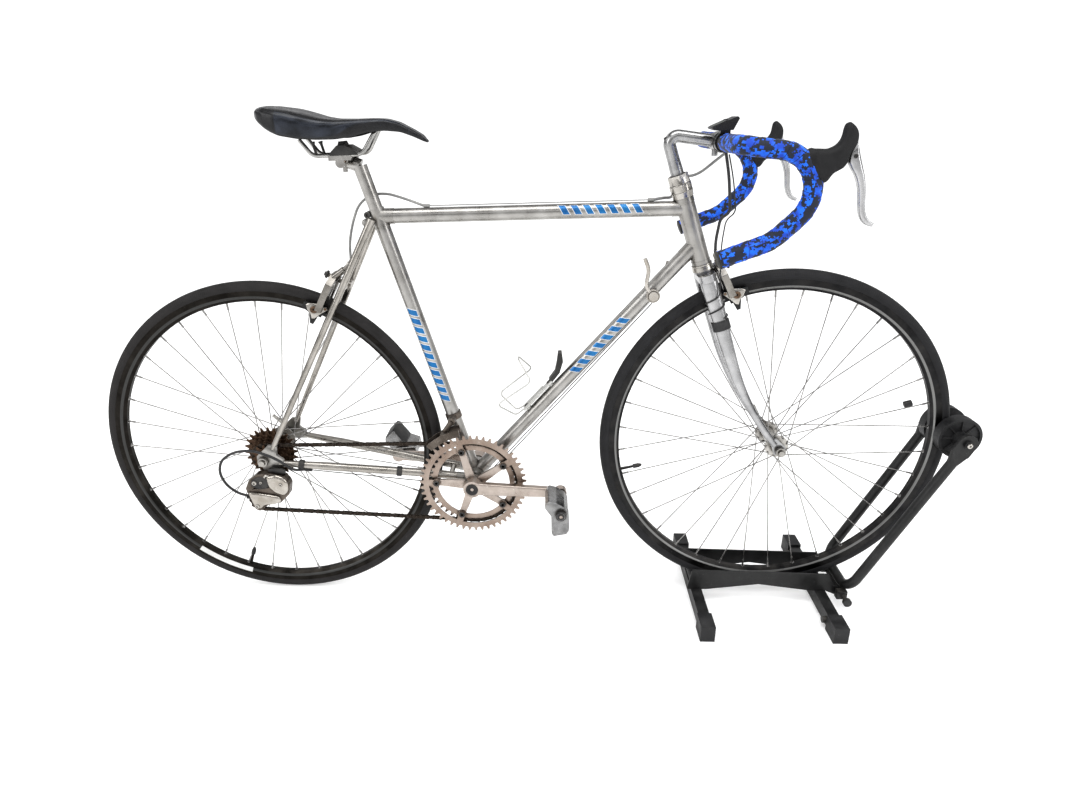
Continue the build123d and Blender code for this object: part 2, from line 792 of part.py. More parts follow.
def rear_brake():
    """Rear caliper, bolted to the bridge behind the seat stays."""
    way = (rear_pivot - rear_axle).normalized()
    made = caliper(rear_pivot, way, rear_brake_back, -14.5, rear_anchor)
    return made - stay_bridges() - rear_brake_pads() - seat_stays()


def rear_brake_pads():
    """Rear brake shoes."""
    way = (rear_pivot - rear_axle).normalized()
    return brake_pads(rear_pivot, way, Vector(-way.Z, 0, way.X))


# ---- saddle ----
post_top = on_seat_tube(cluster_height + post_extension)
clamp_centre = post_top + Vector(-26, 0, 14)
rail_height = clamp_centre.Z + 5


def rail_path(side):
    """Corner points of one saddle rail, from under the tail to under the nose."""
    gap = side * rail_half_gap
    return [
        Vector(clamp_centre.X - 66, gap, rail_height + 27),
        Vector(clamp_centre.X - 46, gap, rail_height),
        Vector(clamp_centre.X + 38, gap, rail_height + 1),
        Vector(clamp_centre.X + 64, side * 13, rail_height + 41),
    ]


def rail_pair():
    """Both rails whole, as the clamp and the saddle's sockets are cut for them."""
    made = Part()
    for side in (1, -1):
        made += pipe(rail_path(side), [20, 20], rail_diameter / 2)
    return made


def saddle_rails():
    """Two wire rails between the saddle's tail and its nose."""
    return rail_pair() - saddle()


def seatpost():
    """Seatpost with its clamp head behind the post's top."""
    made = rod(on_seat_tube(cluster_height - 40), post_top, post_diameter / 2 - post_slack)
    made += rod(post_top, post_top + Vector(-10, 0, 6), 12.0, 10.0)
    low = Vector(clamp_centre.X, 0, rail_height - 12)
    reach = across * (rail_half_gap + 5)
    made += rod(low - reach, low + reach, 8.0)
    made += rod(post_top + Vector(-6, 0, 2), low, 11.0, 8.0)
    made += rod(low - Vector(0, 0, 16), low, 4.0)
    for side in (1, -1):
        centre = Vector(clamp_centre.X, side * rail_half_gap, rail_height - 4)
        made += Part() + (Pos(*centre) * Box(38, 10, 8))
    return made - rail_pair()


def saddle_clamp():
    """Black upper clamp plate over the rails, with the bolt's nut at its peak."""
    x0 = clamp_centre.X
    outline = [
        (x0 - 17, rail_height + 0.2),
        (x0 + 32, rail_height + 0.2),
        (x0 + 30, rail_height + 5),
        (x0 + 11, rail_height + 16),
        (x0 - 3, rail_height + 16),
        (x0 - 15, rail_height + 5),
    ]
    made = side_plate(outline, 0, 2 * rail_half_gap + 9, 1.0)
    return made - rail_pair() - seatpost()


saddle_stations = (
    (-131.0, 58.0, 72.0, 34.0),
    (-121.0, 44.0, 84.5, 56.0),
    (-107.0, 37.0, 86.0, 64.0),
    (-85.0, 28.0, 84.0, 68.0),
    (-56.0, 24.5, 77.0, 66.0),
    (-24.0, 23.5, 67.0, 56.0),
    (1.0, 24.5, 63.0, 44.0),
    (36.0, 31.0, 62.0, 29.0),
    (64.0, 36.5, 62.2, 23.0),
    (84.0, 37.5, 60.0, 20.5),
    (102.0, 35.5, 54.5, 19.5),
    (124.0, 28.5, 42.5, 18.5),
    (140.0, 21.0, 32.5, 16.0),
    (147.5, 17.5, 22.5, 9.0),
)


def saddle_section(ahead, low, high, half):
    """One cut across the saddle: a crowned top, drooping sides and a hollow underside."""
    x = clamp_centre.X + ahead
    base = clamp_centre.Z
    depth = high - low
    roof = high - min(12.0, 0.45 * depth)
    side = [
        (half * 0.82, low),
        (half * 0.98, low + 0.18 * depth),
        (half, low + 0.5 * depth),
        (half * 0.86, low + 0.82 * depth),
        (half * 0.5, high - 0.05 * depth),
    ]
    inner = [(half * 0.62, min(low + 0.2 * depth, roof)), (half * 0.4, roof)]
    outline = [(0.0, high)] + list(reversed(side)) + inner
    left = [(-y, z) for y, z in reversed(outline[1:])]
    points = [Vector(x, y, base + z) for y, z in outline + left]
    return make_face(Polyline(*points, close=True))


def saddle():
    """Saddle: a raised tail, a dipped middle and a drooping nose."""
    sections = [saddle_section(*station) for station in saddle_stations]
    return Part() + loft(sections, ruled=True)


# ---- drive ----
def pitch_radius(teeth):
    """Radius of the circle through the chain's pins on a toothed ring."""
    return chain_pitch / (2 * math.sin(math.pi / teeth))


def toothed_disc(teeth, side, thickness, centre, turn, hollow=0.0):
    """A toothed ring facing sideways; a tooth points along the turn angle."""
    radius = pitch_radius(teeth)
    root = radius - 3.9
    tip = radius + tooth_height
    step = 2 * math.pi / teeth
    points = []
    for index in range(teeth):
        middle = turn + index * step
        for offset, reach in ((-0.30, root), (-0.10, tip), (0.10, tip), (0.30, root)):
            angle = middle + offset * step
            points.append((reach * math.cos(angle), reach * math.sin(angle)))
    plane = Plane(origin=(centre.X, side + thickness / 2, centre.Z), x_dir=(1, 0, 0), z_dir=(0, -1, 0))
    made = Part() + extrude(plane * make_face(Polyline(*points, close=True)), amount=thickness)
    if hollow > 0:
        made -= disc(centre, hollow, side, 3 * thickness)
    return made


outer_ring_plane = inner_ring_plane + ring_spacing
crank_way = Vector(math.cos(math.radians(crank_turn)), 0, math.sin(math.radians(crank_turn)))


def chainrings():
    """Inner and outer chainrings, with bored tabs for the spider's bolts."""
    made = Part()
    for teeth, plane in ((outer_ring_teeth, outer_ring_plane), (inner_ring_teeth, inner_ring_plane)):
        hollow = pitch_radius(teeth) - ring_band
        ring = toothed_disc(teeth, -plane, ring_thickness, bottom_bracket, 0.5 * math.pi, hollow)
        for index in range(5):
            angle = 2 * math.pi * index / 5 + math.radians(spider_turn)
            spot = Vector(
                bottom_bracket.X + ring_bolt_radius * math.cos(angle),
                0,
                bottom_bracket.Z + ring_bolt_radius * math.sin(angle),
            )
            tab_out = Vector(
                bottom_bracket.X + (hollow + 3) * math.cos(angle),
                -plane,
                bottom_bracket.Z + (hollow + 3) * math.sin(angle),
            )
            tab = disc(spot, 8.0, -plane, ring_thickness)
            middle = (Vector(spot.X, -plane, spot.Z) + tab_out) * 0.5
            length = (tab_out - Vector(spot.X, -plane, spot.Z)).length
            plane_of_tab = Plane(origin=middle, x_dir=Vector(math.cos(angle), 0, math.sin(angle)), z_dir=(0, -1, 0))
            tab += Part() + (plane_of_tab * Box(length, 13, ring_thickness))
            ring += tab
            ring -= disc(spot, 4.0, -plane, 3 * ring_thickness)
        made += ring
    return made


def crank_arm(side, way, face):
    """One crank arm from its boss on the spindle to the pedal's eye."""
    boss_side = side * (face - 9)
    made = disc(bottom_bracket, 17.0, boss_side, 24)
    eye = bottom_bracket + way * crank_length
    eye_side = side * (face + 5)
    made += disc(eye, 12.0, eye_side, 14)
    start = bottom_bracket + across * (side * (face - 4))
    end = eye + across * eye_side
    normal = Vector(-way.Z, 0, way.X)
    thick = 7.0
    near = []
    for centre, half in ((start, 13.0), (end, 9.5)):
        plane = Plane(origin=centre, x_dir=normal, z_dir=way)
        near.append(plane * RectangleRounded(2 * half, 2 * thick, 4))
    made += Part() + loft(near)
    pin = disc(eye, 7.5, side * (face + 12 + 1.5), 3.0)
    pin += rod(eye + across * (side * (face + 12)), eye + across * (side * (pedal_half_tread + pedal_width)), 4.0)
    made += pin
    return made - disc(bottom_bracket, spindle_diameter / 2, 0, 2 * (face - 5))


def crank_right():
    """Right crank: arm, five-armed spider and the ring bolts."""
    made = crank_arm(-1, crank_way, 66)
    spider_plane = (outer_ring_plane + inner_ring_plane) / 2
    gap = ring_spacing - ring_thickness
    boss = rod(
        bottom_bracket - across * (spider_plane - 2),
        bottom_bracket - across * 56,
        19.0,
        17.0,
    )
    made += boss
    for index in range(5):
        angle = 2 * math.pi * index / 5 + math.radians(spider_turn)
        out = Vector(math.cos(angle), 0, math.sin(angle))
        spot = bottom_bracket + out * ring_bolt_radius
        root = bottom_bracket + out * 12 - across * (spider_plane + 3)
        wrist = bottom_bracket + out * (ring_bolt_radius - 12) - across * spider_plane
        normal = Vector(-out.Z, 0, out.X)
        planes = []
        for centre, half, thick in ((root, 9.0, 4.0), (wrist, 6.5, gap / 2)):
            plane = Plane(origin=centre, x_dir=normal, z_dir=out)
            planes.append(plane * Rectangle(2 * half, 2 * thick))
        made += Part() + loft(planes)
        plane = Plane(origin=wrist + out * 6, x_dir=normal, z_dir=out)
        made += Part() + (plane * Box(13, gap, 12))
        made += disc(spot, 7.5, -spider_plane, gap)
        made += disc(spot, 4.0, -(outer_ring_plane + inner_ring_plane) / 2, ring_spacing + ring_thickness + 0.2)
        made += disc(spot, 6.0, -(outer_ring_plane + ring_thickness / 2 + 1.1), 2.0)
    return made - disc(bottom_bracket, spindle_diameter / 2, 0, 2 * 61)


def crank_left():
    """Left crank arm, opposite the right one."""
    return crank_arm(1, crank_way * -1, 66)


def bottom_bracket_spindle():
    """Crank spindle with its two bearing cups' faces."""
    return disc(bottom_bracket, spindle_diameter / 2, 0, 2 * 61)


def bottom_bracket_cups():
    """Bearing cups screwed into the shell's two faces."""
    made = Part()
    for side in (1, -1):
        made += disc(bottom_bracket, 17.5, side * (shell_width / 2 + 1.5), 3.0)
    return made - disc(bottom_bracket, spindle_diameter / 2 + 0.08, 0, 200)


pedal_outline = (
    (-29, 14),
    (-22, 28),
    (-8, 24),
    (6, 15),
    (13, 4),
    (14, -34),
    (9, -41),
    (-14, -45),
    (-17, -40),
    (-17, -4),
)


def pedal(side, way, turn):
    """One pedal: a barrel on its pin and a body turned about it."""
    eye = bottom_bracket + way * crank_length
    inner = pedal_half_tread
    middle = side * (inner + pedal_width / 2)
    made = disc(eye, 9.0, middle, pedal_width - 1)
    angle = math.radians(turn)
    cosine, sine = math.cos(angle), math.sin(angle)
    turned = [(eye.X + x * cosine - z * sine, eye.Z + x * sine + z * cosine) for x, z in pedal_outline]
    made += side_plate(turned, side * (inner + 8 + pedal_body_width / 2), pedal_body_width, 3.0)
    return made - disc(eye, 4.0 + running_gap, middle, pedal_width + 5)


def freewheel():
    """Rear sprockets on their body, turning on the rear axle."""
    made = disc(rear_axle, 17.0, -(smallest_sprocket_plane - 15), 34)
    for index, teeth in enumerate(sprocket_teeth):
        plane = smallest_sprocket_plane - index * sprocket_spacing
        made += toothed_disc(teeth, -plane, sprocket_thickness, rear_axle, 0.5 * math.pi)
    made -= disc(rear_axle, 11.0, -smallest_sprocket_plane / 2 - 12, 70)
    return made


def tangent(first, second):
    """Tangent points of a belt from one circle to the next, in (x, z)."""
    (x1, z1, r1, s1), (x2, z2, r2, s2) = first, second
    dx, dz = x2 - x1, z2 - z1
    length = math.hypot(dx, dz)
    ux, uz = dx / length, dz / length
    k = (s2 * r2 - s1 * r1) / length
    c = math.sqrt(1 - k * k)
    nx, nz = k * ux - c * uz, k * uz + c * ux
    return (x1 - s1 * r1 * nx, z1 - s1 * r1 * nz), (x2 - s2 * r2 * nx, z2 - s2 * r2 * nz)


guide_pulley = Vector(3, 0, rear_axle.Z - 53)
tension_pulley = Vector(-26, 0, rear_axle.Z - 93)
chain_plane_rear = smallest_sprocket_plane - chain_sprocket * sprocket_spacing
derailleur_outline = (
    (-37, -50),
    (-28, -32),
    (-12, -20),
    (16, -18),
    (42, -25),
    (50, -42),
    (46, -63),
    (27, -81),
    (4, -85),
    (-16, -96),
    (-28, -84),
)


def chain_ribbons(origin, ahead, full):
    """The chain's cut face at one place: two side plates, or the whole link."""
    plane = Plane(origin=origin, x_dir=(0, 1, 0), z_dir=ahead)
    if full:
        return [plane * Rectangle(chain_width, chain_height)]
    wide = (chain_width - chain_gap) / 2
    offset = chain_gap / 2 + wide / 2
    return [plane * Pos(side * offset, 0) * Rectangle(wide, chain_height) for side in (1, -1)]


def chain():
    """Chain: one fixed loop over the inner ring, a sprocket and both pulleys."""
    sprocket = sprocket_teeth[chain_sprocket]
    ring = (bottom_bracket.X, bottom_bracket.Z, pitch_radius(inner_ring_teeth), 1)
    cog = (rear_axle.X, rear_axle.Z, pitch_radius(sprocket), 1)
    guide = (guide_pulley.X, guide_pulley.Z, pulley_pitch_radius, -1)
    tension = (tension_pulley.X, tension_pulley.Z, pulley_pitch_radius, 1)
    wheels = [ring, cog, guide, tension]
    sides = [-inner_ring_plane] + [-chain_plane_rear] * 3
    made = Part()
    runs = [tangent(wheels[i], wheels[(i + 1) % 4]) for i in range(4)]
    for index in range(4):
        (ax, az), (bx, bz) = runs[index]
        start = Vector(ax, sides[index], az)
        end = Vector(bx, sides[(index + 1) % 4], bz)
        way = Vector(bx - ax, 0, bz - az).normalized()
        stops = [start, end]
        if index == 0:
            stops = [start, start + way * chain_straight, end - way * chain_sprocket_straight, end]
        if index == 3:
            stops = [start, end - way * chain_straight, end]
        for low, high in zip(stops, stops[1:]):
            step = high - low
            for face in chain_ribbons(low, way, False):
                made += Part() + extrude(face, amount=step.length, dir=step.normalized())
            if step.length > 200:
                face = chain_ribbons(low + step * 0.2, way, True)[0]
                made += Part() + extrude(face, amount=step.length * 0.6, dir=step.normalized())
    for index in range(4):
        x0, z0, radius, sign = wheels[index]
        enter = runs[index - 1][1]
        leave = runs[index][0]
        a0 = math.atan2(enter[1] - z0, enter[0] - x0)
        a1 = math.atan2(leave[1] - z0, leave[0] - x0)
        turn = (a1 - a0) % (2 * math.pi) if sign > 0 else (a0 - a1) % (2 * math.pi)
        way = Vector(-math.sin(a0), 0, math.cos(a0)) * sign
        centre = Vector(x0, sides[index], z0)
        faces = chain_ribbons(Vector(enter[0], sides[index], enter[1]), way, index == 3)
        axis = Axis(centre, (0, -sign, 0))
        for face in faces:
            made += Part() + revolve(face, axis=axis, revolution_arc=math.degrees(turn))
    return made


def rear_derailleur():
    """Rear derailleur: knuckles and linkage outside the hanger, cage plates and two pulleys."""
    side = -chain_plane_rear
    face = rear_over_locknut / 2 + dropout_thickness + 0.1
    hanger = Vector(rear_axle.X + 8, -face, rear_axle.Z - 27)
    made = rod(hanger, hanger - across * 18, 8.0)
    upper = Vector(rear_axle.X + 31, 0, rear_axle.Z - 43)
    lower = Vector(tension_pulley.X + 8, 0, tension_pulley.Z + 5)
    made += disc(upper, 18.0, -(face + 8), 16)
    made += disc(lower, 11.0, -(face + 3), 24)
    made += rod(Vector(lower.X, side - 6, lower.Z), Vector(lower.X, -face, lower.Z), 9.0)
    linkage = [(x + rear_axle.X, z + rear_axle.Z) for x, z in derailleur_outline]
    made += side_plate(linkage, -(face + 9), 16, 5.0)
    made -= side_plate([(x + 3, z - 20) for x, z in linkage[1:5]], -(face + 17), 6)
    for centre in (guide_pulley, tension_pulley):
        made += disc(centre, pulley_radius, side, 4.0)
        made += disc(centre, 3.5, side, 14.0)
    for offset in (-6.0, 6.0):
        plate = side_plate(cage_outline(), side + offset, 2.0, 5.0)
        made += plate
    barrel = Vector(rear_axle.X - 24, -(face + 9), rear_axle.Z - 71)
    made += rod(barrel, barrel + Vector(-14, 0, 0.5), 4.0)
    return made - rear_dropouts()


def cage_outline():
    """Outline of the pulley cage's side plate."""
    g, t = guide_pulley, tension_pulley
    return [
        (g.X - 9, g.Z + 8),
        (g.X + 9, g.Z + 8),
        (g.X + 11, g.Z - 6),
        (t.X + 12, t.Z - 4),
        (t.X + 6, t.Z - 11),
        (t.X - 8, t.Z - 11),
        (t.X - 11, t.Z + 4),
        (g.X - 11, g.Z - 6),
    ]


def front_derailleur():
    """Front derailleur: band on the seat tube, link and the chain cage."""
    spot = on_seat_tube(pitch_radius(outer_ring_teeth) + 32)
    outer = seat_tube_diameter / 2
    made = rod(spot - seat_up * 6, spot + seat_up * 6, outer + 2.5)
    made -= rod(spot - seat_up * 9, spot + seat_up * 9, outer)
    made += rod(spot - across * (outer + 1), spot - across * 36, 7.0)
    reach = pitch_radius(outer_ring_teeth) + 6
    start = math.radians(100)
    steps = 6
    inner = inner_ring_plane - 6.5
    outside = outer_ring_plane + 7.0
    for plane, drop in ((-inner, 16.0), (-outside, 14.0)):
        high, low = [], []
        for index in range(steps + 1):
            angle = start + math.radians(34) * index / steps
            out = Vector(math.cos(angle), 0, math.sin(angle))
            high.append(bottom_bracket + out * (reach + drop))
            low.append(bottom_bracket + out * reach)
        outline = [(p.X, p.Z) for p in high] + [(p.X, p.Z) for p in reversed(low)]
        made += side_plate(outline, plane, 1.6)
    top = bottom_bracket + Vector(math.cos(start + 0.25), 0, math.sin(start + 0.25)) * (reach + 13)
    made += Part() + (Pos(top.X, -(inner + outside) / 2, top.Z) * Box(12, outside - inner + 1.6, 3))
    made += rod(Vector(spot.X, -inner, spot.Z), Vector(top.X, -inner - 4, top.Z), 5.0)
    return made


# ---- cables and fittings ----
shift_boss_height = 497.0
shift_boss = on_down_tube(shift_boss_height, -4.0)


def arc_radii(points, share=0.45):
    """The largest arc at each corner that its two runs leave room for."""
    radii = []
    for before, corner, after in zip(points, points[1:], points[2:]):
        first, second = corner - before, after - corner
        half_turn = math.radians(first.get_angle(second)) / 2
        radii.append(share * min(first.length, second.length) / math.tan(half_turn))
    return radii


def cable(points, diameter):
    """A cable along its route, with an arc at every corner; its radii are printed."""
    radii = arc_radii(points)
    print("cable arcs", [round(radius, 1) for radius in radii])
    return pipe(points, radii, diameter / 2)


def shift_levers():
    """Two down-tube shift levers on their brazed boss: one raised, one laid forward."""
    outer = down_tube_diameter / 2
    made = rod(shift_boss - across * (outer + 16), shift_boss + across * (outer + 16), 8.5)
    made -= rod(on_down_tube(shift_boss_height - 30), on_down_tube(shift_boss_height + 30), outer)
    for side in (1, -1):
        made += disc(shift_boss, 12.0, side * (outer + 8), 9)
    out = outer + 10
    raised = [(0, 0), (3, 22), (29, 39), (38, 58)]
    laid = [(0, 0), (20, 6), (44, 4), (60, 12)]
    for side, way in ((-1, raised), (1, laid)):
        line = [on_down_tube(shift_boss_height + a, -4 + b, side * (out + b * 0.05)) for a, b in way]
        made += pipe(line, arc_radii(line), 3.5)
    return made


rear_stop_x = seat_cluster.X + 86


def rear_brake_cable():
    """Rear brake cable: from the bar, bare along the top tube, housed round the seatpost."""
    height = top_tube_z + top_tube_diameter / 2 + 3.0
    front_stop_x = head_cluster.X - 62
    made = rod(Vector(front_stop_x, 0, height), Vector(rear_stop_x, 0, height), cable_diameter / 2)
    for x in (front_stop_x, rear_stop_x):
        made += rod(Vector(x - 5, 0, height - 0.2), Vector(x + 5, 0, height - 0.2), housing_diameter / 2 + 0.8)
    made -= rod(seat_cluster, head_cluster, top_tube_diameter / 2)
    front = [
        Vector(front_stop_x + 5, 0, height),
        Vector(front_stop_x + 22, 6, height + 2),
        on_steerer(head_cluster_height + 22, -18, 30),
        on_steerer(head_top + 6, -2, 36),
    ]
    made += cable(front, housing_diameter)
    x0 = seat_cluster.X
    rear = [
        Vector(rear_stop_x - 5, 0, height),
        Vector(x0 + 50, 8, top_tube_z + 27),
        Vector(x0 + 14, 18, top_tube_z + 37),
        Vector(x0 - 16, 19, top_tube_z + 35.5),
        Vector(x0 - 37.5, 12, top_tube_z + 19),
        Vector(x0 - 48, 2, top_tube_z - 9),
        Vector(x0 - 56, -7, top_tube_z - 44),
        rear_anchor,
    ]
    made += cable(rear, rear_housing_diameter)
    return made - rear_brake()


def front_brake_cable():
    """Housing from under the bar tape to the front caliper."""
    points = [
        bar_centre + Vector(2, -38, -15),
        bar_centre + Vector(10, -37, -52),
        bar_centre + Vector(18, -30, -112),
        front_anchor + Vector(3, -7, 62),
        front_anchor + Vector(-1, -1, 24),
        front_anchor,
    ]
    return cable(points, housing_diameter) - front_brake()


housing_loop = (
    (30, 10, 11),
    (-10, 30, 14),
    (-48, 27, 14),
    (-76, 9, 14),
    (-84, -18, 13),
    (-76, -44, 12),
    (-58, -63, 10),
    (-36, -71, 9),
)


def shift_cables():
    """Shift cables: under the down tube and the shell, then a housed loop at the rear."""
    under = down_tube_diameter / 2 + 2.5
    made = Part()
    shell = shell_diameter / 2 + 3.0
    stay_start, stay_waist, stay_end = chain_stay_run(-1)
    drop = Vector(0, 0, -(chain_stay_diameter / 2 + 2.5))
    stop = stay_waist + (stay_end - stay_waist) * 0.80 + drop
    corner = bottom_bracket + Vector(0.43 * shell, 0, -shell)
    end_x = bottom_bracket.X - 0.9 * shell
    right = [
        on_down_tube(shift_boss_height - 12, -under, -9),
        corner + across * -9,
        Vector(end_x, -9.5, bottom_bracket.Z - shell),
        stop,
    ]
    made += pipe(right, [shell, 1.6 * shell], cable_diameter / 2)
    left = [
        on_down_tube(shift_boss_height - 12, -under, 9),
        corner + across * 9,
        Vector(bottom_bracket.X - 0.3 * shell, 9, bottom_bracket.Z - shell),
    ]
    made += pipe(left, [0.65 * shell], cable_diameter / 2)
    guide = Pos(bottom_bracket.X, 0, bottom_bracket.Z - shell + 1) * Box(9, 25, 5)
    made += Part() + guide - disc(bottom_bracket, shell_diameter / 2, 0, shell_width)
    back = (stay_end - stay_waist).normalized()
    made += rod(stop, stop + back * 14, 3.0)
    out = -(rear_over_locknut / 2 + dropout_thickness)
    loop = [stop + back * 14, Vector(rear_axle.X + 57, out - 5, rear_axle.Z - 18)]
    for x, z, lift in housing_loop:
        loop.append(Vector(rear_axle.X + x, out - lift, rear_axle.Z + z))
    made += cable(loop, housing_diameter)
    return made - rear_derailleur()


def blade_ring(travel, turn, lift):
    """A point round the right fork blade's oval at a place down its length."""
    share = travel / (crown_start + 2 - 14)
    low = max(pair for pair in blade_sections if pair[0] <= share)
    high = min(pair for pair in blade_sections if pair[0] > share)
    long_half = low[1] + (high[1] - low[1]) * (share - low[0]) / (high[0] - low[0])
    angle = math.radians(turn)
    centre = blade_centre(travel, -1)
    ahead = (long_half + lift) * math.cos(angle)
    side = (blade_wide_half(share) + lift) * math.sin(angle)
    return centre + steer_ahead * ahead - across * side


def computer_wire():
    """Thin wire from the computer's clip round the fork blade, to the strapped sensor."""
    turns = []
    for index in range(13):
        travel = sensor_travel - sensor_length / 2 - 3.5 - (12 - index) * 3.4
        turns.append(blade_ring(travel, 60 + 60 * index, wire_diameter / 2 + 2.4))
    start = [
        bar_centre + Vector(10, -28, -19),
        bar_centre + Vector(19, -34, -60),
        bar_centre + Vector(27, -32, -112),
        front_anchor + Vector(12, -10, 60),
        front_anchor + Vector(6, -14, 18),
    ]
    made = cable(start + turns, wire_diameter)
    centre = blade_centre(sensor_travel, -1)
    plane = Plane(origin=centre, x_dir=(0, 1, 0), z_dir=blade_centre(sensor_travel + 2, -1) - centre)
    share = sensor_travel / (crown_start + 2 - 14)
    long_half = (blade_ring(sensor_travel, 0, 0) - centre).length
    strap = plane * Ellipse(blade_wide_half(share) + 2.6, long_half + 2.6)
    made += Part() + extrude(strap, amount=sensor_length / 2, both=True)
    return made - fork()


cage_base_height = 168.0
cage_wire_diameter = 3.2


def bottle_cage():
    """Wire bottle cage: one bent wire and a narrow plate bolted on the down tube."""
    above = down_tube_diameter / 2
    right = [
        on_down_tube(cage_base_height + 60, above + 8, -9),
        on_down_tube(cage_base_height + 6, above + 8, -9),
        on_down_tube(cage_base_height - 12, above + 12, -13),
        on_down_tube(cage_base_height - 15, above + 57, -30),
        on_down_tube(cage_base_height + 66, above + 41, -38),
        on_down_tube(cage_base_height + 75, above + 82, -8),
    ]
    whole = right + [Vector(p.X, -p.Y, p.Z) for p in reversed(right)]
    radii = [min(9.0, radius) for radius in arc_radii(whole)]
    made = pipe(whole, radii, cage_wire_diameter / 2)
    plate = Plane(origin=on_down_tube(cage_base_height + 4, above + 5.6), x_dir=(0, 1, 0), z_dir=down_way * -1)
    made += Part() + extrude(plate * RectangleRounded(20, 4.0, 1.0), amount=80)
    for height in (cage_base_height + 12, cage_base_height + 76):
        made += rod(on_down_tube(height, above - 1), on_down_tube(height, above + 4), 5.0)
    low = cage_base_height + 82
    tab = [
        on_down_tube(low, above + 4),
        on_down_tube(low, above + 11),
        on_down_tube(low + 19, above + 13),
        on_down_tube(low + 36, above + 23),
        on_down_tube(low + 52, above + 34),
        on_down_tube(low + 56, above + 30),
        on_down_tube(low + 44, above + 16),
        on_down_tube(low + 24, above + 6),
    ]
    made += side_plate([(p.X, p.Z) for p in tab], 0, 16.0, 1.0)
    return made - rod(bottom_bracket, down_cluster, above)


def cycle_computer():
    """Wedge-shaped computer in its clip on the bar beside the stem."""
    x0, z0 = bar_centre.X, bar_centre.Z
    outline = [
        (x0 - 28, z0 + 22.5),
        (x0 + 14, z0 + 39.5),
        (x0 + 17.5, z0 + 36.5),
        (x0 + 8.5, z0 + 19),
        (x0 - 14, z0 + 18.5),
    ]
    body = side_plate(outline, -32.0, 38.0, 1.5)
    clip = disc(bar_centre, bar_clamp_diameter / 2 + 3.2, -27.5, 14)
    clip += Part() + (Pos(x0, -27.5, z0 + 16) * Box(16, 14, 7))
    clip -= disc(bar_centre, bar_clamp_diameter / 2, 0, 100)
    return body + clip


# ---- stand ----
def parked(point):
    """A place on the level bicycle, once it is tipped nose-up about the rear axle."""
    turned = point - rear_axle
    angle = math.radians(park_pitch)
    x = turned.X * math.cos(angle) - turned.Z * math.sin(angle)
    z = turned.X * math.sin(angle) + turned.Z * math.cos(angle)
    return rear_axle + Vector(x, turned.Y, z)


held_axle = parked(front_axle)
seat_drop = math.sqrt((tyre_radius + stand_seat_gap) ** 2 - stand_half_pitch**2)
seat_top = held_axle.Z - seat_drop


def stand_feet():
    """Two square cross tubes that the stand stands on."""
    made = Part()
    for way in (-1, 1):
        centre = Vector(held_axle.X + way * stand_half_pitch, 0, stand_foot_height / 2 + 4)
        made += Part() + (Pos(*centre) * Box(stand_foot_width - 4, stand_foot_length - 6, stand_foot_height))
    return made


def stand_end_caps():
    """Plastic caps over the four tube ends, which meet the floor."""
    made = Part()
    for way in (-1, 1):
        for side in (1, -1):
            centre = Vector(
                held_axle.X + way * stand_half_pitch,
                side * (stand_foot_length / 2 - stand_cap_length / 2),
                stand_cap_height / 2,
            )
            made += Part() + (Pos(*centre) * Box(stand_foot_width + 2, stand_cap_length, stand_cap_height))
    return made - stand_feet()


def stand_cradle():
    """Two side plates with arched lower edges, joined by the tyre's cross rests."""
    x0 = held_axle.X
    half = stand_plate_half_length
    outline = [
        (x0 - half, stand_plate_bottom),
        (x0 - half + 8, stand_plate_top),
        (x0 + half - 6, stand_plate_top - 6),
        (x0 + half + 8, stand_plate_bottom + 12),
        (x0 + stand_arm_ahead + 5, stand_plate_bottom + 6),
        (x0 + stand_arm_ahead + 5, stand_hinge_height - 9),
        (x0 + stand_arm_ahead - 12, stand_hinge_height - 9),
        (x0 + half - 8, stand_plate_bottom),
        (x0 + half - 40, stand_plate_bottom),
        (x0, stand_plate_bottom + 14),
        (x0 - half + 40, stand_plate_bottom),
    ]
    made = Part()
    for side in (1, -1):
        made += side_plate(outline, side * stand_plate_half_gap, stand_plate_thickness, 3.0)
    rest_radius = 8.0
    for way in (-1, 1):
        out = Vector(way * stand_half_pitch, 0, -seat_drop).normalized()
        centre = held_axle + out * (tyre_radius + stand_seat_gap + rest_radius)
        gap = stand_plate_half_gap
        made += rod(centre - across * gap, centre + across * gap, rest_radius)
    return made - stand_feet() - stand_arms() - stand_hinge()


arm_foot = Vector(held_axle.X + stand_arm_ahead, 0, stand_arm_height)
arm_head = Vector(held_axle.X + tyre_radius + stand_grip_ahead, 0, held_axle.Z + stand_grip_above)
arm_way = (arm_head - arm_foot).normalized()


def stand_arms():
    """One tube bent to a U: a cross run by the hinge and two arms with flattened heads."""
    neck = arm_head - arm_way * 44
    side = across * stand_arm_half
    made = pipe(
        [neck - side, arm_foot - side, arm_foot + side, neck + side],
        stand_arm_bend,
        stand_arm_diameter / 2,
    )
    normal = Vector(-arm_way.Z, 0, arm_way.X)
    for sign in (1, -1):
        offset = across * (sign * stand_arm_half)
        foot = Plane(origin=neck + offset, x_dir=(0, 1, 0), z_dir=arm_way)
        top = Plane(origin=neck + offset + arm_way * 22, x_dir=(0, 1, 0), z_dir=arm_way)
        radius = stand_arm_diameter / 2
        squeeze = [
            foot * RectangleRounded(2 * radius, 2 * radius, radius - 0.4),
            top * RectangleRounded(stand_head_thickness, stand_head_width, 2.0),
        ]
        made += Part() + loft(squeeze)
        head = arm_head + offset
        low = neck + offset + arm_way * 21
        half = stand_head_width / 2
        outline = [low - normal * half, head - normal * half, head + normal * half, low + normal * half]
        made += side_plate([(p.X, p.Z) for p in outline], sign * stand_arm_half, stand_head_thickness)
        made += disc(head, half, sign * stand_arm_half, stand_head_thickness)
    return made - stand_grips()


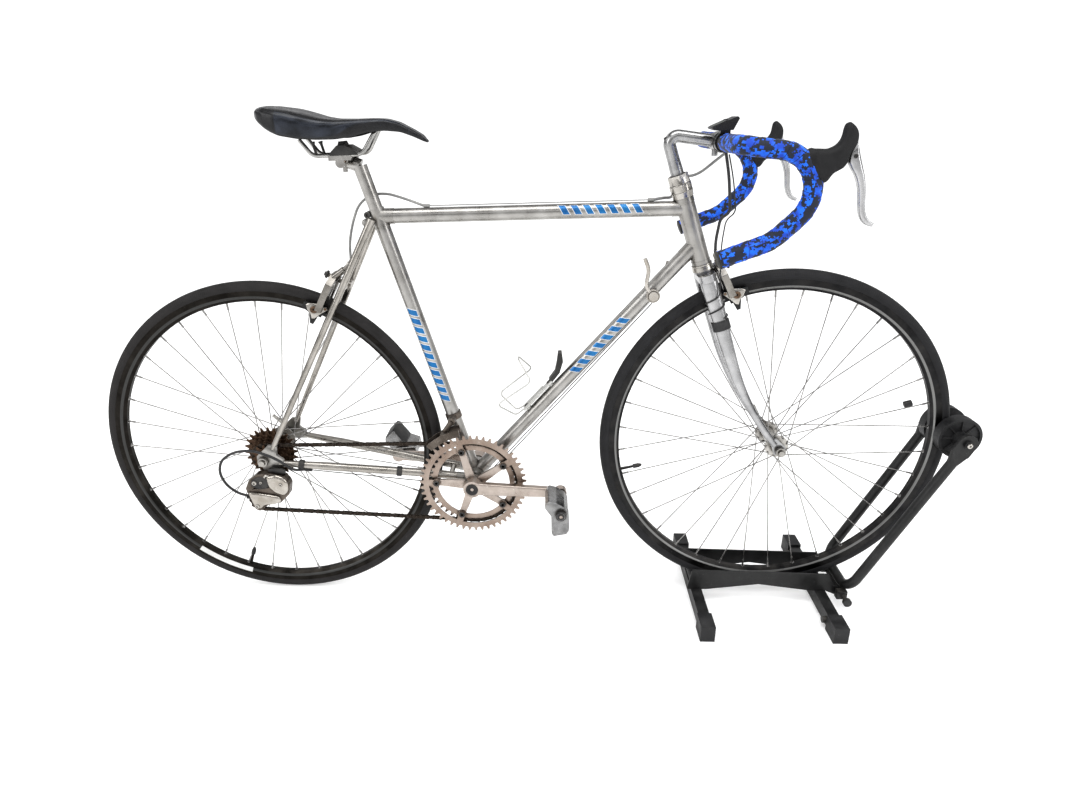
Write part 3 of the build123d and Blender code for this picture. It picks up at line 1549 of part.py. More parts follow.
def stand_hinge():
    """Hinge axle under the arms' cross run with its knobs, and the foot's adjusting screws."""
    centre = Vector(arm_foot.X - 3, 0, stand_hinge_height)
    half = stand_arm_half + 12
    made = rod(centre - across * half, centre + across * half, stand_hinge_diameter / 2)
    for sign in (1, -1):
        middle = Vector(centre.X - 3, sign * (stand_arm_half - 10), centre.Z + 2)
        made += Part() + (Pos(*middle) * Box(20, 13, 18))
        made += disc(centre, 8.5, sign * (half + 3), 7)
    foot = Vector(held_axle.X + stand_half_pitch, 0, stand_foot_height / 2 + 4)
    face = Vector(stand_foot_width / 2 - 2, 0, 0)
    for sign in (1, -1):
        middle = foot + across * (sign * stand_adjuster_side)
        made += rod(middle - face, middle - face - Vector(9, 0, 0), 6.5)
        made += rod(middle + face, middle + face + Vector(5, 0, 0), 4.5)
    return made - stand_arms()


def stand_grips():
    """Round dished pads at the arms' heads, either side of the tyre, on their screws."""
    made = Part()
    thickness = stand_grip_outer - stand_grip_inner
    for sign in (1, -1):
        made += disc(arm_head, stand_grip_radius, sign * (stand_grip_inner + thickness / 2), thickness)
        made -= disc(arm_head, stand_grip_radius - 5, sign * stand_grip_outer, 8)
        hub = stand_arm_half - stand_head_thickness / 2 - stand_grip_inner - 2
        made += disc(arm_head, 14.0, sign * (stand_grip_inner + 2 + hub / 2), hub)
        made += disc(arm_head, 4.0, sign * (stand_arm_half - 1), 16)
        made += disc(arm_head, 8.0, sign * (stand_arm_half + stand_head_thickness / 2 + 2.5), 5)
    return made


def front_tyre():
    """Front tyre."""
    return tyre(front_axle)


def front_rim():
    """Front rim and valve."""
    return rim(front_axle, front_valve_turn)


def front_spokes():
    """Front wheel's spokes."""
    return spokes(front_axle, front_flange_half, front_flange_half, front_flange_diameter, front_lacing_turn)


def front_hub():
    """Front hub shell."""
    return hub(front_axle, front_flange_half, front_flange_half, front_flange_diameter, front_over_locknut)


def front_axle_set():
    """Front axle and its quick release."""
    return axle_set(front_axle, front_over_locknut, fork_dropout_thickness, front_lever_turn)


def rear_tyre():
    """Rear tyre."""
    return tyre(rear_axle)


def rear_rim():
    """Rear rim and valve."""
    return rim(rear_axle, rear_valve_turn)


def rear_spokes():
    """Rear wheel's spokes, on flanges offset for the sprockets."""
    return spokes(rear_axle, rear_flange_left, rear_flange_right, rear_flange_diameter, rear_lacing_turn)


def rear_hub():
    """Rear hub, its barrel short of the sprockets on the right."""
    return hub(rear_axle, rear_flange_left, rear_flange_right, rear_flange_diameter, rear_over_locknut)


def rear_axle_set():
    """Rear axle and its quick release."""
    return axle_set(rear_axle, rear_over_locknut, dropout_thickness, rear_lever_turn)


def top_tube():
    """Top tube between the two lugs."""
    bar = rod(seat_cluster, head_cluster, top_tube_diameter / 2)
    bar -= rod(on_seat_tube(0), on_seat_tube(cluster_height + 60), seat_tube_diameter / 2)
    bar -= rod(on_steerer(head_tube_start - 20), on_steerer(head_top + 20), head_tube_diameter / 2)
    return bar - seat_lug() - head_tube()


def down_tube():
    """Down tube between the head lug and the bottom bracket shell."""
    bar = rod(bottom_bracket, down_cluster, down_tube_diameter / 2)
    bar -= disc(bottom_bracket, shell_diameter / 2, 0, shell_width)
    bar -= rod(on_steerer(head_tube_start - 20), on_steerer(head_top + 20), head_tube_diameter / 2)
    bar -= rod(on_seat_tube(0), on_seat_tube(200), seat_tube_diameter / 2)
    return bar - head_tube() - bottom_bracket_shell()


def pedal_right():
    """Right pedal, hanging nose down."""
    return pedal(-1, crank_way, 0.0)


def pedal_left():
    """Left pedal, tilted back above its pin."""
    return pedal(1, crank_way * -1, pedal_turn_left)


makers = {
    "front_tyre": front_tyre,
    "front_rim": front_rim,
    "front_spokes": front_spokes,
    "front_hub": front_hub,
    "front_axle": front_axle_set,
    "rear_tyre": rear_tyre,
    "rear_rim": rear_rim,
    "rear_spokes": rear_spokes,
    "rear_hub": rear_hub,
    "rear_axle": rear_axle_set,
    "head_tube": head_tube,
    "top_tube": top_tube,
    "down_tube": down_tube,
    "seat_tube": seat_tube,
    "seat_lug": seat_lug,
    "bottom_bracket_shell": bottom_bracket_shell,
    "chain_stays": chain_stays,
    "seat_stays": seat_stays,
    "stay_bridges": stay_bridges,
    "rear_dropouts": rear_dropouts,
    "headset_cups": headset_cups,
    "headset_locknut": headset_locknut,
    "fork": fork,
    "stem": stem,
    "handlebar": handlebar,
    "bar_tape": bar_tape,
    "lever_hoods": lever_hoods,
    "brake_levers": brake_levers,
    "front_brake": front_brake,
    "front_brake_pads": front_brake_pads,
    "rear_brake": rear_brake,
    "rear_brake_pads": rear_brake_pads,
    "seatpost": seatpost,
    "saddle_clamp": saddle_clamp,
    "saddle_rails": saddle_rails,
    "saddle": saddle,
    "chainrings": chainrings,
    "crank_right": crank_right,
    "crank_left": crank_left,
    "bottom_bracket_spindle": bottom_bracket_spindle,
    "bottom_bracket_cups": bottom_bracket_cups,
    "pedal_right": pedal_right,
    "pedal_left": pedal_left,
    "freewheel": freewheel,
    "chain": chain,
    "rear_derailleur": rear_derailleur,
    "front_derailleur": front_derailleur,
    "shift_levers": shift_levers,
    "rear_brake_cable": rear_brake_cable,
    "front_brake_cable": front_brake_cable,
    "shift_cables": shift_cables,
    "computer_wire": computer_wire,
    "bottle_cage": bottle_cage,
    "cycle_computer": cycle_computer,
    "stand_feet": stand_feet,
    "stand_end_caps": stand_end_caps,
    "stand_cradle": stand_cradle,
    "stand_arms": stand_arms,
    "stand_hinge": stand_hinge,
    "stand_grips": stand_grips,
}


stand_nodes = (
    "stand_feet",
    "stand_end_caps",
    "stand_cradle",
    "stand_arms",
    "stand_hinge",
    "stand_grips",
)
length_ahead = arm_head.X + stand_grip_radius
middle_x = (length_ahead - tyre_radius) / 2

if __name__ == "__main__":
    os.makedirs("parts", exist_ok=True)
    to_origin = Pos(-middle_x, 0, 0)
    tip_up = Pos(*rear_axle) * Rot(0, -park_pitch, 0) * Pos(*(rear_axle * -1))
    for name, make in makers.items():
        piece = make()
        if name not in stand_nodes:
            piece = tip_up * piece
        export_step(to_origin * piece, f"parts/{name}.step")
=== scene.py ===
import math

import bmesh
import bpy
import numpy as np
from mathutils import Matrix, Vector


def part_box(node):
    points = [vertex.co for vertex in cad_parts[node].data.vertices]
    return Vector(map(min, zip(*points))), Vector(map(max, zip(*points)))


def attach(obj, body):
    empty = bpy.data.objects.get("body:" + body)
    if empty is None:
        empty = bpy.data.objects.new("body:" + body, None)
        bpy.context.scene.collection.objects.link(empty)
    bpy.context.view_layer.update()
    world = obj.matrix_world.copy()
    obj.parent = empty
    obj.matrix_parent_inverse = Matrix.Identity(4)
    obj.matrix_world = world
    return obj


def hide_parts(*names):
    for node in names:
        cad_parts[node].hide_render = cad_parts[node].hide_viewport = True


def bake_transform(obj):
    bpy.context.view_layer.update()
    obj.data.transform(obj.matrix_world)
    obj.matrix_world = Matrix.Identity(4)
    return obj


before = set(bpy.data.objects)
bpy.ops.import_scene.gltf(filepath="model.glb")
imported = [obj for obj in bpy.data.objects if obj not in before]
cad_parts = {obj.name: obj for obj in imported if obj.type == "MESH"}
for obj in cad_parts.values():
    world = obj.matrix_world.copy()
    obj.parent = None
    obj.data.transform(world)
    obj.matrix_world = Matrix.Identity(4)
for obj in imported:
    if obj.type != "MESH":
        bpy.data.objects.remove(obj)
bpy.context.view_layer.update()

# ---- the room ----
# A pale floor and sky, the camera in front of the chain side, and three large
# soft lamps. Only mirrored rays see the sky's grey bands, for the alloy to show.
scene = bpy.context.scene


def middle_of(low, high):
    """The middle of a box, in metres."""
    return np.array((low + high) / 2)


def put(name, data):
    """A new object in the scene."""
    made = bpy.data.objects.new(name, data)
    scene.collection.objects.link(made)
    return made


def feed(node, **inputs):
    """Links or sets a node's inputs: i0 is the first, and _ stands for a space in a name."""
    for key, value in inputs.items():
        socket = node.inputs[int(key[1:]) if key[1:].isdigit() else key.replace("_", " ")]
        if isinstance(value, bpy.types.NodeSocket):
            node.id_data.links.new(value, socket)
        else:
            socket.default_value = value
    return node


def add(near, kind, settings=(), **inputs):
    """A shader node beside a node or socket, with its settings and inputs."""
    node = near.id_data.nodes.new("ShaderNode" + kind)
    for key, value in dict(settings).items():
        setattr(node, key, value)
    return feed(node, **inputs)


def stepped(operation, first, second=0, clamp=False):
    """One step of arithmetic on a socket's value."""
    settings = {"operation": operation, "use_clamp": clamp}
    return add(first, "Math", settings, i0=first, i1=second).outputs[0]


def times(first, second, clamp=False):
    """A product."""
    return stepped("MULTIPLY", first, second, clamp)


def plus(first, second, clamp=False):
    """A sum."""
    return stepped("ADD", first, second, clamp)


def new_material(name):
    """A material with nodes, and its shader."""
    material = bpy.data.materials.new(name)
    material.use_nodes = True
    return material, material.node_tree.nodes["Principled BSDF"]


rear_axle = middle_of(*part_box("rear_tyre"))
front_axle = middle_of(*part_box("front_tyre"))
camera_data = bpy.data.cameras.new("camera")
camera_data.sensor_width, camera_data.lens, camera_data.clip_end = 36, 23.076, 60
camera_data.shift_x, camera_data.shift_y = 0.00994, -0.017
scene.camera = put("camera", camera_data)
yaw, pitch, roll = -0.0318, 0.3702, 0.0063
camera_place = Matrix.Translation((rear_axle[0] + 0.54569, -1.23543, 0.94238))
facing = Matrix.Rotation(-yaw, 4, "Z") @ Matrix.Rotation(math.pi / 2 - pitch, 4, "X")
scene.camera.matrix_world = camera_place @ facing @ Matrix.Rotation(-roll, 4, "Z")

floor_half = 14
floor_mesh = bpy.data.meshes.new("floor")
floor_corners = [(x * floor_half, y * floor_half, 0) for x, y in ((-1, -1), (1, -1), (1, 1), (-1, 1))]
floor_mesh.from_pydata(floor_corners, [], [(0, 1, 2, 3)])
floor = put("floor", floor_mesh)
floor_paint, floor_shader = new_material("pale_floor")
feed(
    floor_shader,
    Base_Color=(0.88, 0.88, 0.88, 1),
    Roughness=0.9,
    Specular_IOR_Level=0.1,
    Emission_Color=(1, 1, 1, 1),
    Emission_Strength=times(add(floor_shader, "LightPath").outputs["Is Camera Ray"], 0.22),
)
floor_mesh.materials.append(floor_paint)

scene.world = bpy.data.worlds.new("studio")
scene.world.use_nodes = True
sky = scene.world.node_tree
plain_sky = feed(sky.nodes["Background"], Color=(1, 1, 1, 1), Strength=1)
sky_place = add(sky, "SeparateXYZ", i0=add(sky, "TexCoord").outputs["Generated"])
sky_bands = add(sky, "ValToRGB", i0=sky_place.outputs["Z"])
bands = ((0, 0.75), (0.08, 0.18), (0.22, 0.08), (0.32, 0.9), (0.5, 1.15), (0.6, 0.22), (0.8, 0.12), (1, 0.5))
while len(sky_bands.color_ramp.elements) < len(bands):
    sky_bands.color_ramp.elements.new(0.5)
for element, (height, level) in zip(sky_bands.color_ramp.elements, bands):
    element.position = height
    element.color = (level, level, level * 1.01, 1)
banded_sky = add(sky, "Background", Color=sky_bands.outputs[0])
mirrored = add(sky, "LightPath").outputs["Is Glossy Ray"]
both_skies = add(sky, "MixShader", i0=mirrored, i1=plain_sky.outputs[0], i2=banded_sky.outputs[0])
feed(sky.nodes["World Output"], Surface=both_skies.outputs[0])
scene.view_settings.view_transform = "Standard"
scene.view_settings.look = "Medium High Contrast"


def soft_lamp(name, place, aim, size, power):
    """A rectangular area lamp that faces a point."""
    lamp = bpy.data.lights.new(name, "AREA")
    lamp.shape = "RECTANGLE"
    lamp.size, lamp.size_y = size
    lamp.energy = power
    swing = (Vector(aim) - Vector(place)).to_track_quat("-Z", "Y").to_matrix().to_4x4()
    put(name, lamp).matrix_world = Matrix.Translation(place) @ swing


soft_lamp("lamp_over", (0.1, -0.8, 2.8), (0, 0, 0.4), (2.2, 1.2), 26)
soft_lamp("lamp_left", (-2.6, -2, 1.9), (0, 0, 0.5), (1.2, 1.6), 16)
soft_lamp("lamp_right", (2.7, -1.6, 1.6), (0.2, 0, 0.5), (1, 1.6), 12)

# ---- frame tubes and lugs ----
# Satin silver alloy tubes bonded into polished cast lugs, and tapered stays let
# into flat dropouts. Marks, worn edges, dust and painted crevice shade are four
# node groups that every finish shares.


def new_group(name, inputs, *outputs):
    """A node group, its inputs and its output node; a triple or the name Normal makes a vector."""
    group = bpy.data.node_groups.new(name, "ShaderNodeTree")
    kinds = {True: "NodeSocketVector", False: "NodeSocketFloat"}
    for label, value in inputs.items():
        kind = kinds[isinstance(value, tuple)]
        group.interface.new_socket(label, in_out="INPUT", socket_type=kind).default_value = value
    for label in outputs:
        group.interface.new_socket(label, in_out="OUTPUT", socket_type=kinds[label == "Normal"])
    return group, group.nodes.new("NodeGroupInput").outputs, group.nodes.new("NodeGroupOutput")


def ranged(value, low, high, to_low=0, to_high=1):
    """A value moved from one range to another, and held inside it."""
    return add(value, "MapRange", i0=value, i1=low, i2=high, i3=to_low, i4=to_high).outputs[0]


def noise(place, scale, detail=2, roughness=0.5):
    """A noise pattern about 0.5 at a place."""
    return add(place, "TexNoise", Vector=place, Scale=scale, Detail=detail, Roughness=roughness).outputs[0]


def far_from(value, middle):
    """How far a value is from a middle, without its sign."""
    return stepped("ABSOLUTE", stepped("SUBTRACT", value, middle))


def vector_of(operation, first, **inputs):
    """One step of arithmetic on a vector."""
    return add(first, "VectorMath", {"operation": operation}, i0=first, **inputs).outputs


def coordinates(near, kind):
    """The surface's own coordinates of one kind."""
    return add(near, "TexCoord").outputs[kind]


def split(vector):
    """A vector's three parts."""
    return add(vector, "SeparateXYZ", i0=vector).outputs


def bumped(height, strength, distance, **normal):
    """The surface's direction with a height pressed into it."""
    return add(height, "Bump", Strength=strength, Distance=distance, Height=height, **normal).outputs[0]


def coloured(colour):
    """A grey or a triple as a colour with full cover."""
    return (*np.broadcast_to(colour, 3), 1)


def mixed(share, first, second):
    """A colour between two, by a share."""
    first, second = (c if isinstance(c, bpy.types.NodeSocket) else coloured(c) for c in (first, second))
    return add(share, "Mix", {"data_type": "RGBA"}, i0=share, i6=first, i7=second).outputs[2]


marks, given, marks_out = new_group(
    "fine_marks",
    {"Scale": 1, "Lean": 0, "Stretch": (1, 1, 1), "Relief": 0.1, "Normal": (0, 0, 0)},
    "Patch", "Grain", "Scratch", "Normal",
)
place = coordinates(marks, "Object")
leaned = add(marks, "VectorRotate", {"rotation_type": "Y_AXIS"}, Vector=place, Angle=given["Lean"]).outputs[0]
even = vector_of("SCALE", place, Scale=given["Scale"])[0]
drawn = vector_of("MULTIPLY", vector_of("SCALE", leaned, Scale=given["Scale"])[0], i1=given["Stretch"])[0]
grain = noise(drawn, 620, 4, 0.65)
scratch = ranged(far_from(noise(drawn, 150, 1), 0.5), 0, 0.012, 1, 0)
scratch = times(scratch, ranged(noise(even, 60), 0.5, 0.7))
relief = stepped("SUBTRACT", grain, times(scratch, 0.5))
feed(
    marks_out,
    Patch=ranged(noise(even, 26, 3, 0.6), 0.35, 0.65),
    Grain=grain,
    Scratch=scratch,
    Normal=bumped(relief, given["Relief"], 0.0004, Normal=given["Normal"]),
)

edges, given, edges_out = new_group("worn_edges", {"Width": 0.0006}, "Edge", "Normal")
edge_round = add(edges, "Bevel", {"samples": 4}, Radius=given["Width"]).outputs[0]
edge_flat = add(edges, "NewGeometry").outputs["Normal"]
edge_facing = vector_of("DOT_PRODUCT", edge_round, i1=edge_flat)["Value"]
feed(edges_out, Edge=ranged(edge_facing, 0.985, 0.86), Normal=edge_round)

dust, given, dust_out = new_group("settled_dust", {"Scale": 1, "Amount": 0.3}, "Dust")
even = vector_of("SCALE", coordinates(dust, "Object"), Scale=given["Scale"])[0]
faces_up = ranged(split(add(dust, "NewGeometry").outputs["Normal"])["Z"], -0.2, 0.9, 0.15, 1)
specks, cloud = ranged(noise(even, 900, 3, 0.7), 0.45, 0.72), ranged(noise(even, 34, 3), 0.4, 0.7)
lies = times(faces_up, plus(times(cloud, 0.6), times(specks, 0.4)))
feed(dust_out, Dust=times(lies, given["Amount"], True))

# Painted shade: an ambient occlusion mask, broken up by noise, that darkens crevices and the gaps between parts.
crevice_shading, given, crevice_shading_out = new_group("crevice_painted_shade", {"Reach": 0.006, "Scale": 1}, "Dirt")
openness = add(crevice_shading, "AmbientOcclusion", {"samples": 6}, Distance=given["Reach"]).outputs["AO"]
even = vector_of("SCALE", coordinates(crevice_shading, "Object"), Scale=given["Scale"])[0]
spots = times(noise(even, 240, 3, 0.65), 0.3)
feed(crevice_shading_out, Dirt=ranged(plus(openness, spots), 1.06, 0.62))


def dress(material, names):
    """Gives CAD nodes, named in one line of words, a material in all their slots."""
    for name in names.split():
        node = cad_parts[name]
        if not node.data.materials:
            node.data.materials.append(material)
        for holder in node.material_slots:
            holder.material = material


def finish(
    name, dark, light, rough, metal=0, scale=1, lean=0, stretch=(1, 1, 1), relief=0.1, worn=0,
    worn_tone=None, dusty=0, dust_tone=(0.35, 0.32, 0.28), scratched=0.5, grime=0, on="", **constant
):
    """A material of two tones by soft patches and grain, with scratches, worn edges, dust and painted crevice shade.

    The words of on name the CAD nodes that it dresses."""
    material, shader = new_material(name)
    rim_of = add(shader, "Group", {"node_tree": edges}, Width=0.0005).outputs
    lines = add(
        shader, "Group", {"node_tree": marks},
        Scale=scale, Lean=lean, Stretch=stretch, Relief=relief, Normal=rim_of["Normal"],
    ).outputs
    tone = mixed(plus(times(lines["Patch"], 0.7), times(lines["Grain"], 0.3)), dark, light)
    bright = np.minimum(1, 1.35 * np.broadcast_to(light, 3) + 0.04) if worn_tone is None else worn_tone
    tone = mixed(times(rim_of["Edge"], times(lines["Grain"], 1.6 * worn), True), tone, bright)
    tone = mixed(times(lines["Scratch"], scratched), tone, bright)
    uneven = times(stepped("SUBTRACT", lines["Grain"], 0.5), 0.22)
    gloss = plus(ranged(lines["Patch"], 0, 1, *rough), uneven, True)
    settled = add(shader, "Group", {"node_tree": dust}, Scale=scale, Amount=dusty).outputs[0]
    tone = mixed(settled, tone, dust_tone)
    gloss = plus(gloss, times(settled, 0.6), True)
    # Painted shade: crevices and gaps darkened towards dark brown (0.03, 0.022, 0.016) by the occlusion group, and
    # made rougher.
    if grime > 0:
        painted_shade = add(shader, "Group", {"node_tree": crevice_shading}, Reach=0.007, Scale=scale).outputs[0]
        painted_shade = times(painted_shade, grime, True)
        tone = mixed(painted_shade, tone, (0.03, 0.022, 0.016))
        gloss = plus(gloss, times(painted_shade, 0.35), True)
    feed(shader, Base_Color=tone, Roughness=gloss, Normal=lines["Normal"], **constant)
    if metal > 0:
        feed(shader, Metallic=ranged(settled, 0, 1, metal, 0.1))
    dress(material, on)
    return material


def alloy(name, dark, light, rough, **more):
    """A bare metal finish."""
    return finish(name, dark, light, rough, 1, **more)


seat_angle = math.radians(74.5)
down_run, down_rise = 0.6785, 0.7346
tube_leans = (
    ("tube_silver", "top_tube", 0),
    ("down_tube_silver", "down_tube", math.atan2(down_rise, down_run)),
    ("seat_tube_silver", "seat_tube", -seat_angle),
)
for name, tube, lean in tube_leans:
    tube_tones = ((0.31, 0.3, 0.285), (0.52, 0.51, 0.49), (0.26, 0.36))
    alloy(name, *tube_tones, lean=lean, stretch=(0.08, 1, 1), worn=0.5, dusty=0.12, on=tube)
alloy(
    "lug_silver", (0.27, 0.26, 0.245), (0.49, 0.48, 0.46), (0.24, 0.4),
    relief=0.16, worn=0.8, dusty=0.25, grime=0.7, on="head_tube seat_lug bottom_bracket_shell rear_dropouts",
)
alloy(
    "stay_silver", (0.29, 0.275, 0.25), (0.52, 0.495, 0.46), (0.2, 0.32),
    stretch=(0.1, 1, 1), worn=0.4, dusty=0.22, grime=0.6, on="seat_stays chain_stays stay_bridges",
)

nose_up = math.atan2(front_axle[2] - rear_axle[2], front_axle[0] - rear_axle[0])
leftward = np.array((0, 1, 0))
sides = ((-1, "right"), (1, "left"))
axle_high = 334


def placed(x, y, z):
    """A place on the level bicycle, in millimetres from under the rear axle, once its nose is tipped up."""
    x, z = np.asarray(x, float), np.asarray(z, float) - 1000 * rear_axle[2]
    ahead = (x * math.cos(nose_up) - z * math.sin(nose_up)) / 1000
    above = (x * math.sin(nose_up) + z * math.cos(nose_up)) / 1000
    return np.stack((rear_axle[0] + ahead, (np.asarray(y, float) + 0 * x) / 1000, rear_axle[2] + above), -1)


def tipped(points):
    """The same for an array of level places."""
    return placed(*np.moveaxis(np.asarray(points, float), -1, 0))


def at_side(line, y):
    """An outline of level (ahead, up) points, at one distance to the left."""
    return placed(line[..., 0], y, line[..., 1])


def unit(vector):
    """Vectors at length one."""
    vector = np.asarray(vector, float)
    return vector / np.linalg.norm(vector, axis=-1, keepdims=True)


def tipped_way(way):
    """A direction on the level bicycle, once its nose is tipped up."""
    return unit(tipped(1000 * np.asarray(way)) - tipped((0, 0, 0)))


def toward(turn):
    """Directions in the wheels' plane, by their angle up from straight ahead."""
    return np.stack((np.cos(turn), 0 * turn, np.sin(turn)), -1)


def circle(count):
    """Even angles round a circle."""
    return np.linspace(0, 2 * math.pi, count, endpoint=False)


def build(name, body, material, grids, stands_for=(), crease=40):
    """One mesh of a grid or a list of grids of points [copy, row, column], joined to four-sided faces.

    A bare grid has closed columns and filled ends; the others are (points, rows closed, columns closed,
    ends filled, u of rows, v of columns)."""
    corners, quads, lids, charts = [], [], [], []
    base = 0
    for grid in grids if isinstance(grids, list) else [grids]:
        whole = grid if isinstance(grid, tuple) else (grid, False, True, True, None, None)
        points, round_rows, round_columns, filled, u, v = whole
        points = points[None] if points.ndim == 3 else points
        copies, n, m = points.shape[:3]
        index = base + np.arange(copies * n * m).reshape(copies, n, m)
        row = np.arange(n if round_rows else n - 1)[:, None]
        column = np.arange(m if round_columns else m - 1)[None]
        u = np.arange(n + 1) if u is None else u
        v = np.arange(m + 1) if v is None else v
        chart = np.stack(np.meshgrid(u, v, indexing="ij"), -1)
        turns = ((0, 0), (1, 0), (1, 1), (0, 1))
        faces = np.stack([index[:, (row + i) % n, (column + j) % m] for i, j in turns], -1)
        chart = np.stack([chart[row + i, column + j] for i, j in turns], 2)
        quads.append(faces.reshape(-1, 4))
        charts.append(np.broadcast_to(chart, (copies, *chart.shape)).reshape(-1, 2))
        if filled:
            lids += index[:, 0, ::-1].tolist() + index[:, -1, :].tolist()
        corners.append(points.reshape(-1, 3))
        base += copies * n * m
    mesh = bpy.data.meshes.new(name)
    quads = np.concatenate(quads)
    mesh.from_pydata(np.concatenate(corners).tolist(), [], quads.tolist() + lids)
    chart = np.zeros((len(mesh.loops), 2), np.float32)
    chart[: 4 * len(quads)] = np.concatenate(charts)
    mesh.uv_layers.new(name="along").data.foreach_set("uv", chart.ravel())
    shape = bmesh.new()
    shape.from_mesh(mesh)
    bmesh.ops.recalc_face_normals(shape, faces=shape.faces)
    shape.to_mesh(mesh)
    shape.free()
    mesh.shade_smooth()
    mesh.set_sharp_from_angle(angle=math.radians(crease))
    mesh.materials.append(material)
    piece = put(name, mesh)
    if body:
        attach(piece, body)
    if stands_for:
        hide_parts(*stands_for)
    return piece


def turned_round(centre, axis, radii, along, count):
    """A profile of radius against distance along an axis, in millimetres, carried round it, as a closed ring."""
    axis = unit(axis)
    side = unit(np.cross(axis, (0.31, 0.52, 0.8)))
    angle = circle(count)[:, None, None]
    spoke = np.cos(angle) * side + np.sin(angle) * np.cross(axis, side)
    radii, along = (np.array(v, float)[None, :, None] / 1000 for v in (radii, along))
    return (np.asarray(centre) + spoke * radii + axis * along, True, True, False, None, None)


def knob(centre, axis, radii, along, count=24):
    """The same profile as a solid grid with filled ends."""
    return turned_round(centre, axis, radii, along, count)[0].transpose(1, 0, 2)


def shrunk(points, share):
    """Points drawn in towards their mean."""
    middle = points.mean(axis=0)
    return middle + (points - middle) * share


def plate(outline, thickness, edge):
    """A plate of one outline of level places about the middle plane: inset face, two edges, inset face."""
    line = np.array(outline, float)
    reach = np.linalg.norm(line - line.mean(axis=0), axis=1, keepdims=True)
    inset, half = shrunk(line, 1 - edge / np.maximum(reach, edge * 2)), thickness / 2
    rows = ((-half, inset), (edge - half, line), (half - edge, line), (half, inset))
    return np.stack([at_side(row, y) for y, row in rows])


# ---- stripes ----
# Plain blue foil bars with a pale edge, pressed on the seat, down and top tubes
# and cut slanted, as a generic ornament.
bar_foil = finish(
    "blue_foil", (0.008, 0.1, 0.3), (0.02, 0.2, 0.46), (0.25, 0.4),
    metal=0.45, relief=0.06, worn=0.3, dusty=0.15, scratched=0.8,
)
pale_foil = finish("pale_foil", (0.55, 0.56, 0.58), (0.78, 0.79, 0.8), (0.35, 0.5), relief=0.05, dusty=0.1)


def tube_bars(start, end, spots, width, face, spread, slant, lift):
    """Slanted bars on a 26 mm tube: each row is an outer and an inner arc of its face, closed to a thin shell."""
    start, end = placed(*start), placed(*end)
    way = unit(end - start)
    arc = np.radians(np.linspace(face - spread, face + spread, 13))
    angle = np.concatenate((arc, arc[::-1]))
    reach = 13 + np.concatenate((0 * arc + lift, 0 * arc - 0.3))
    along = np.asarray(spots, float)[:, None, None] + np.array((0, width))[None, :, None]
    along = along + slant * np.degrees(angle)[None, None] / spread
    ring = np.cos(angle)[:, None] * -leftward + np.sin(angle)[:, None] * np.cross(-leftward, way)
    return start + along[..., None] / 1000 * way + ring * reach[:, None] / 1000


shell = np.array((395.58, 0, 266.5))


def on_down_tube(height):
    """A level place on the down tube's centre line, from the bottom bracket up."""
    return shell + height * np.array((down_run, 0, down_rise))


top_tube_high, seat_lug_at = 777, 254.1
seat_up = np.array((-math.cos(seat_angle), 0, math.sin(seat_angle)))
bar_rows = (
    ("seat_bars", (shell, shell + 500 * seat_up), 170 + 17.5 * np.arange(11), 8, 5),
    ("down_bars", (shell, on_down_tube(500)), 297 + 21 * np.arange(7), 8, -6),
    (
        "top_bars",
        ((seat_lug_at, 0, top_tube_high), (seat_lug_at + 500, 0, top_tube_high)),
        322 + 21 * np.arange(7), 20, -5,
    ),
)
for name, line, spots, face, slant in bar_rows:
    build(name + "_edge", "frame", pale_foil, tube_bars(*line, spots - 1.3, 13.6, face, 40, slant, 0.14))
    build(name, "frame", bar_foil, tube_bars(*line, spots, 11, face, 36, slant * 0.9, 0.24))

# ---- fork, headset, stem and bar ----
# A polished fork with raked blades, ringed head races and nuts, a forged stem
# with a dark binder bolt, and an alloy drop bar that shows beside the stem.
head_angle = math.radians(72)
alloy(
    "polished_alloy", 0.46, 0.68, (0.1, 0.22), relief=0.05, worn=0.4, dusty=0.08, scratched=0.7, grime=0.4,
    on="handlebar",
)
alloy(
    "fork_silver", (0.35, 0.35, 0.355), (0.56, 0.56, 0.565), (0.14, 0.26),
    lean=-head_angle, stretch=(0.1, 1, 1), relief=0.07, worn=0.4, dusty=0.12, grime=0.5, on="fork",
)
race_silver = alloy(
    "race_silver", (0.4, 0.38, 0.35), (0.66, 0.64, 0.6), (0.14, 0.3), relief=0.08, worn=0.9, dusty=0.3, grime=0.8
)
dark_steel = finish(
    "dark_steel", (0.03, 0.03, 0.032), (0.09, 0.088, 0.085), (0.3, 0.5),
    metal=0.8, worn=0.8, worn_tone=(0.35, 0.34, 0.33), dusty=0.2,
)
alloy("stem_silver", 0.28, 0.5, (0.18, 0.3), relief=0.06, worn=0.4, dusty=0.12, scratched=0.7, grime=0.6, on="stem")
dress(race_silver, "headset_cups headset_locknut")

front_hub_place = np.array((978, 0, axle_high))
steer_up = unit((-math.cos(head_angle), 0, math.sin(head_angle)))
steer_ahead = np.array((steer_up[2], 0, -steer_up[0]))
fork_rake = 41


def on_steerer(height, ahead=0, side=0):
    """A level place on the steering axis, with a distance ahead and to the left."""
    foot = front_hub_place - fork_rake * steer_ahead
    return foot + height * steer_up + ahead * steer_ahead + side * leftward


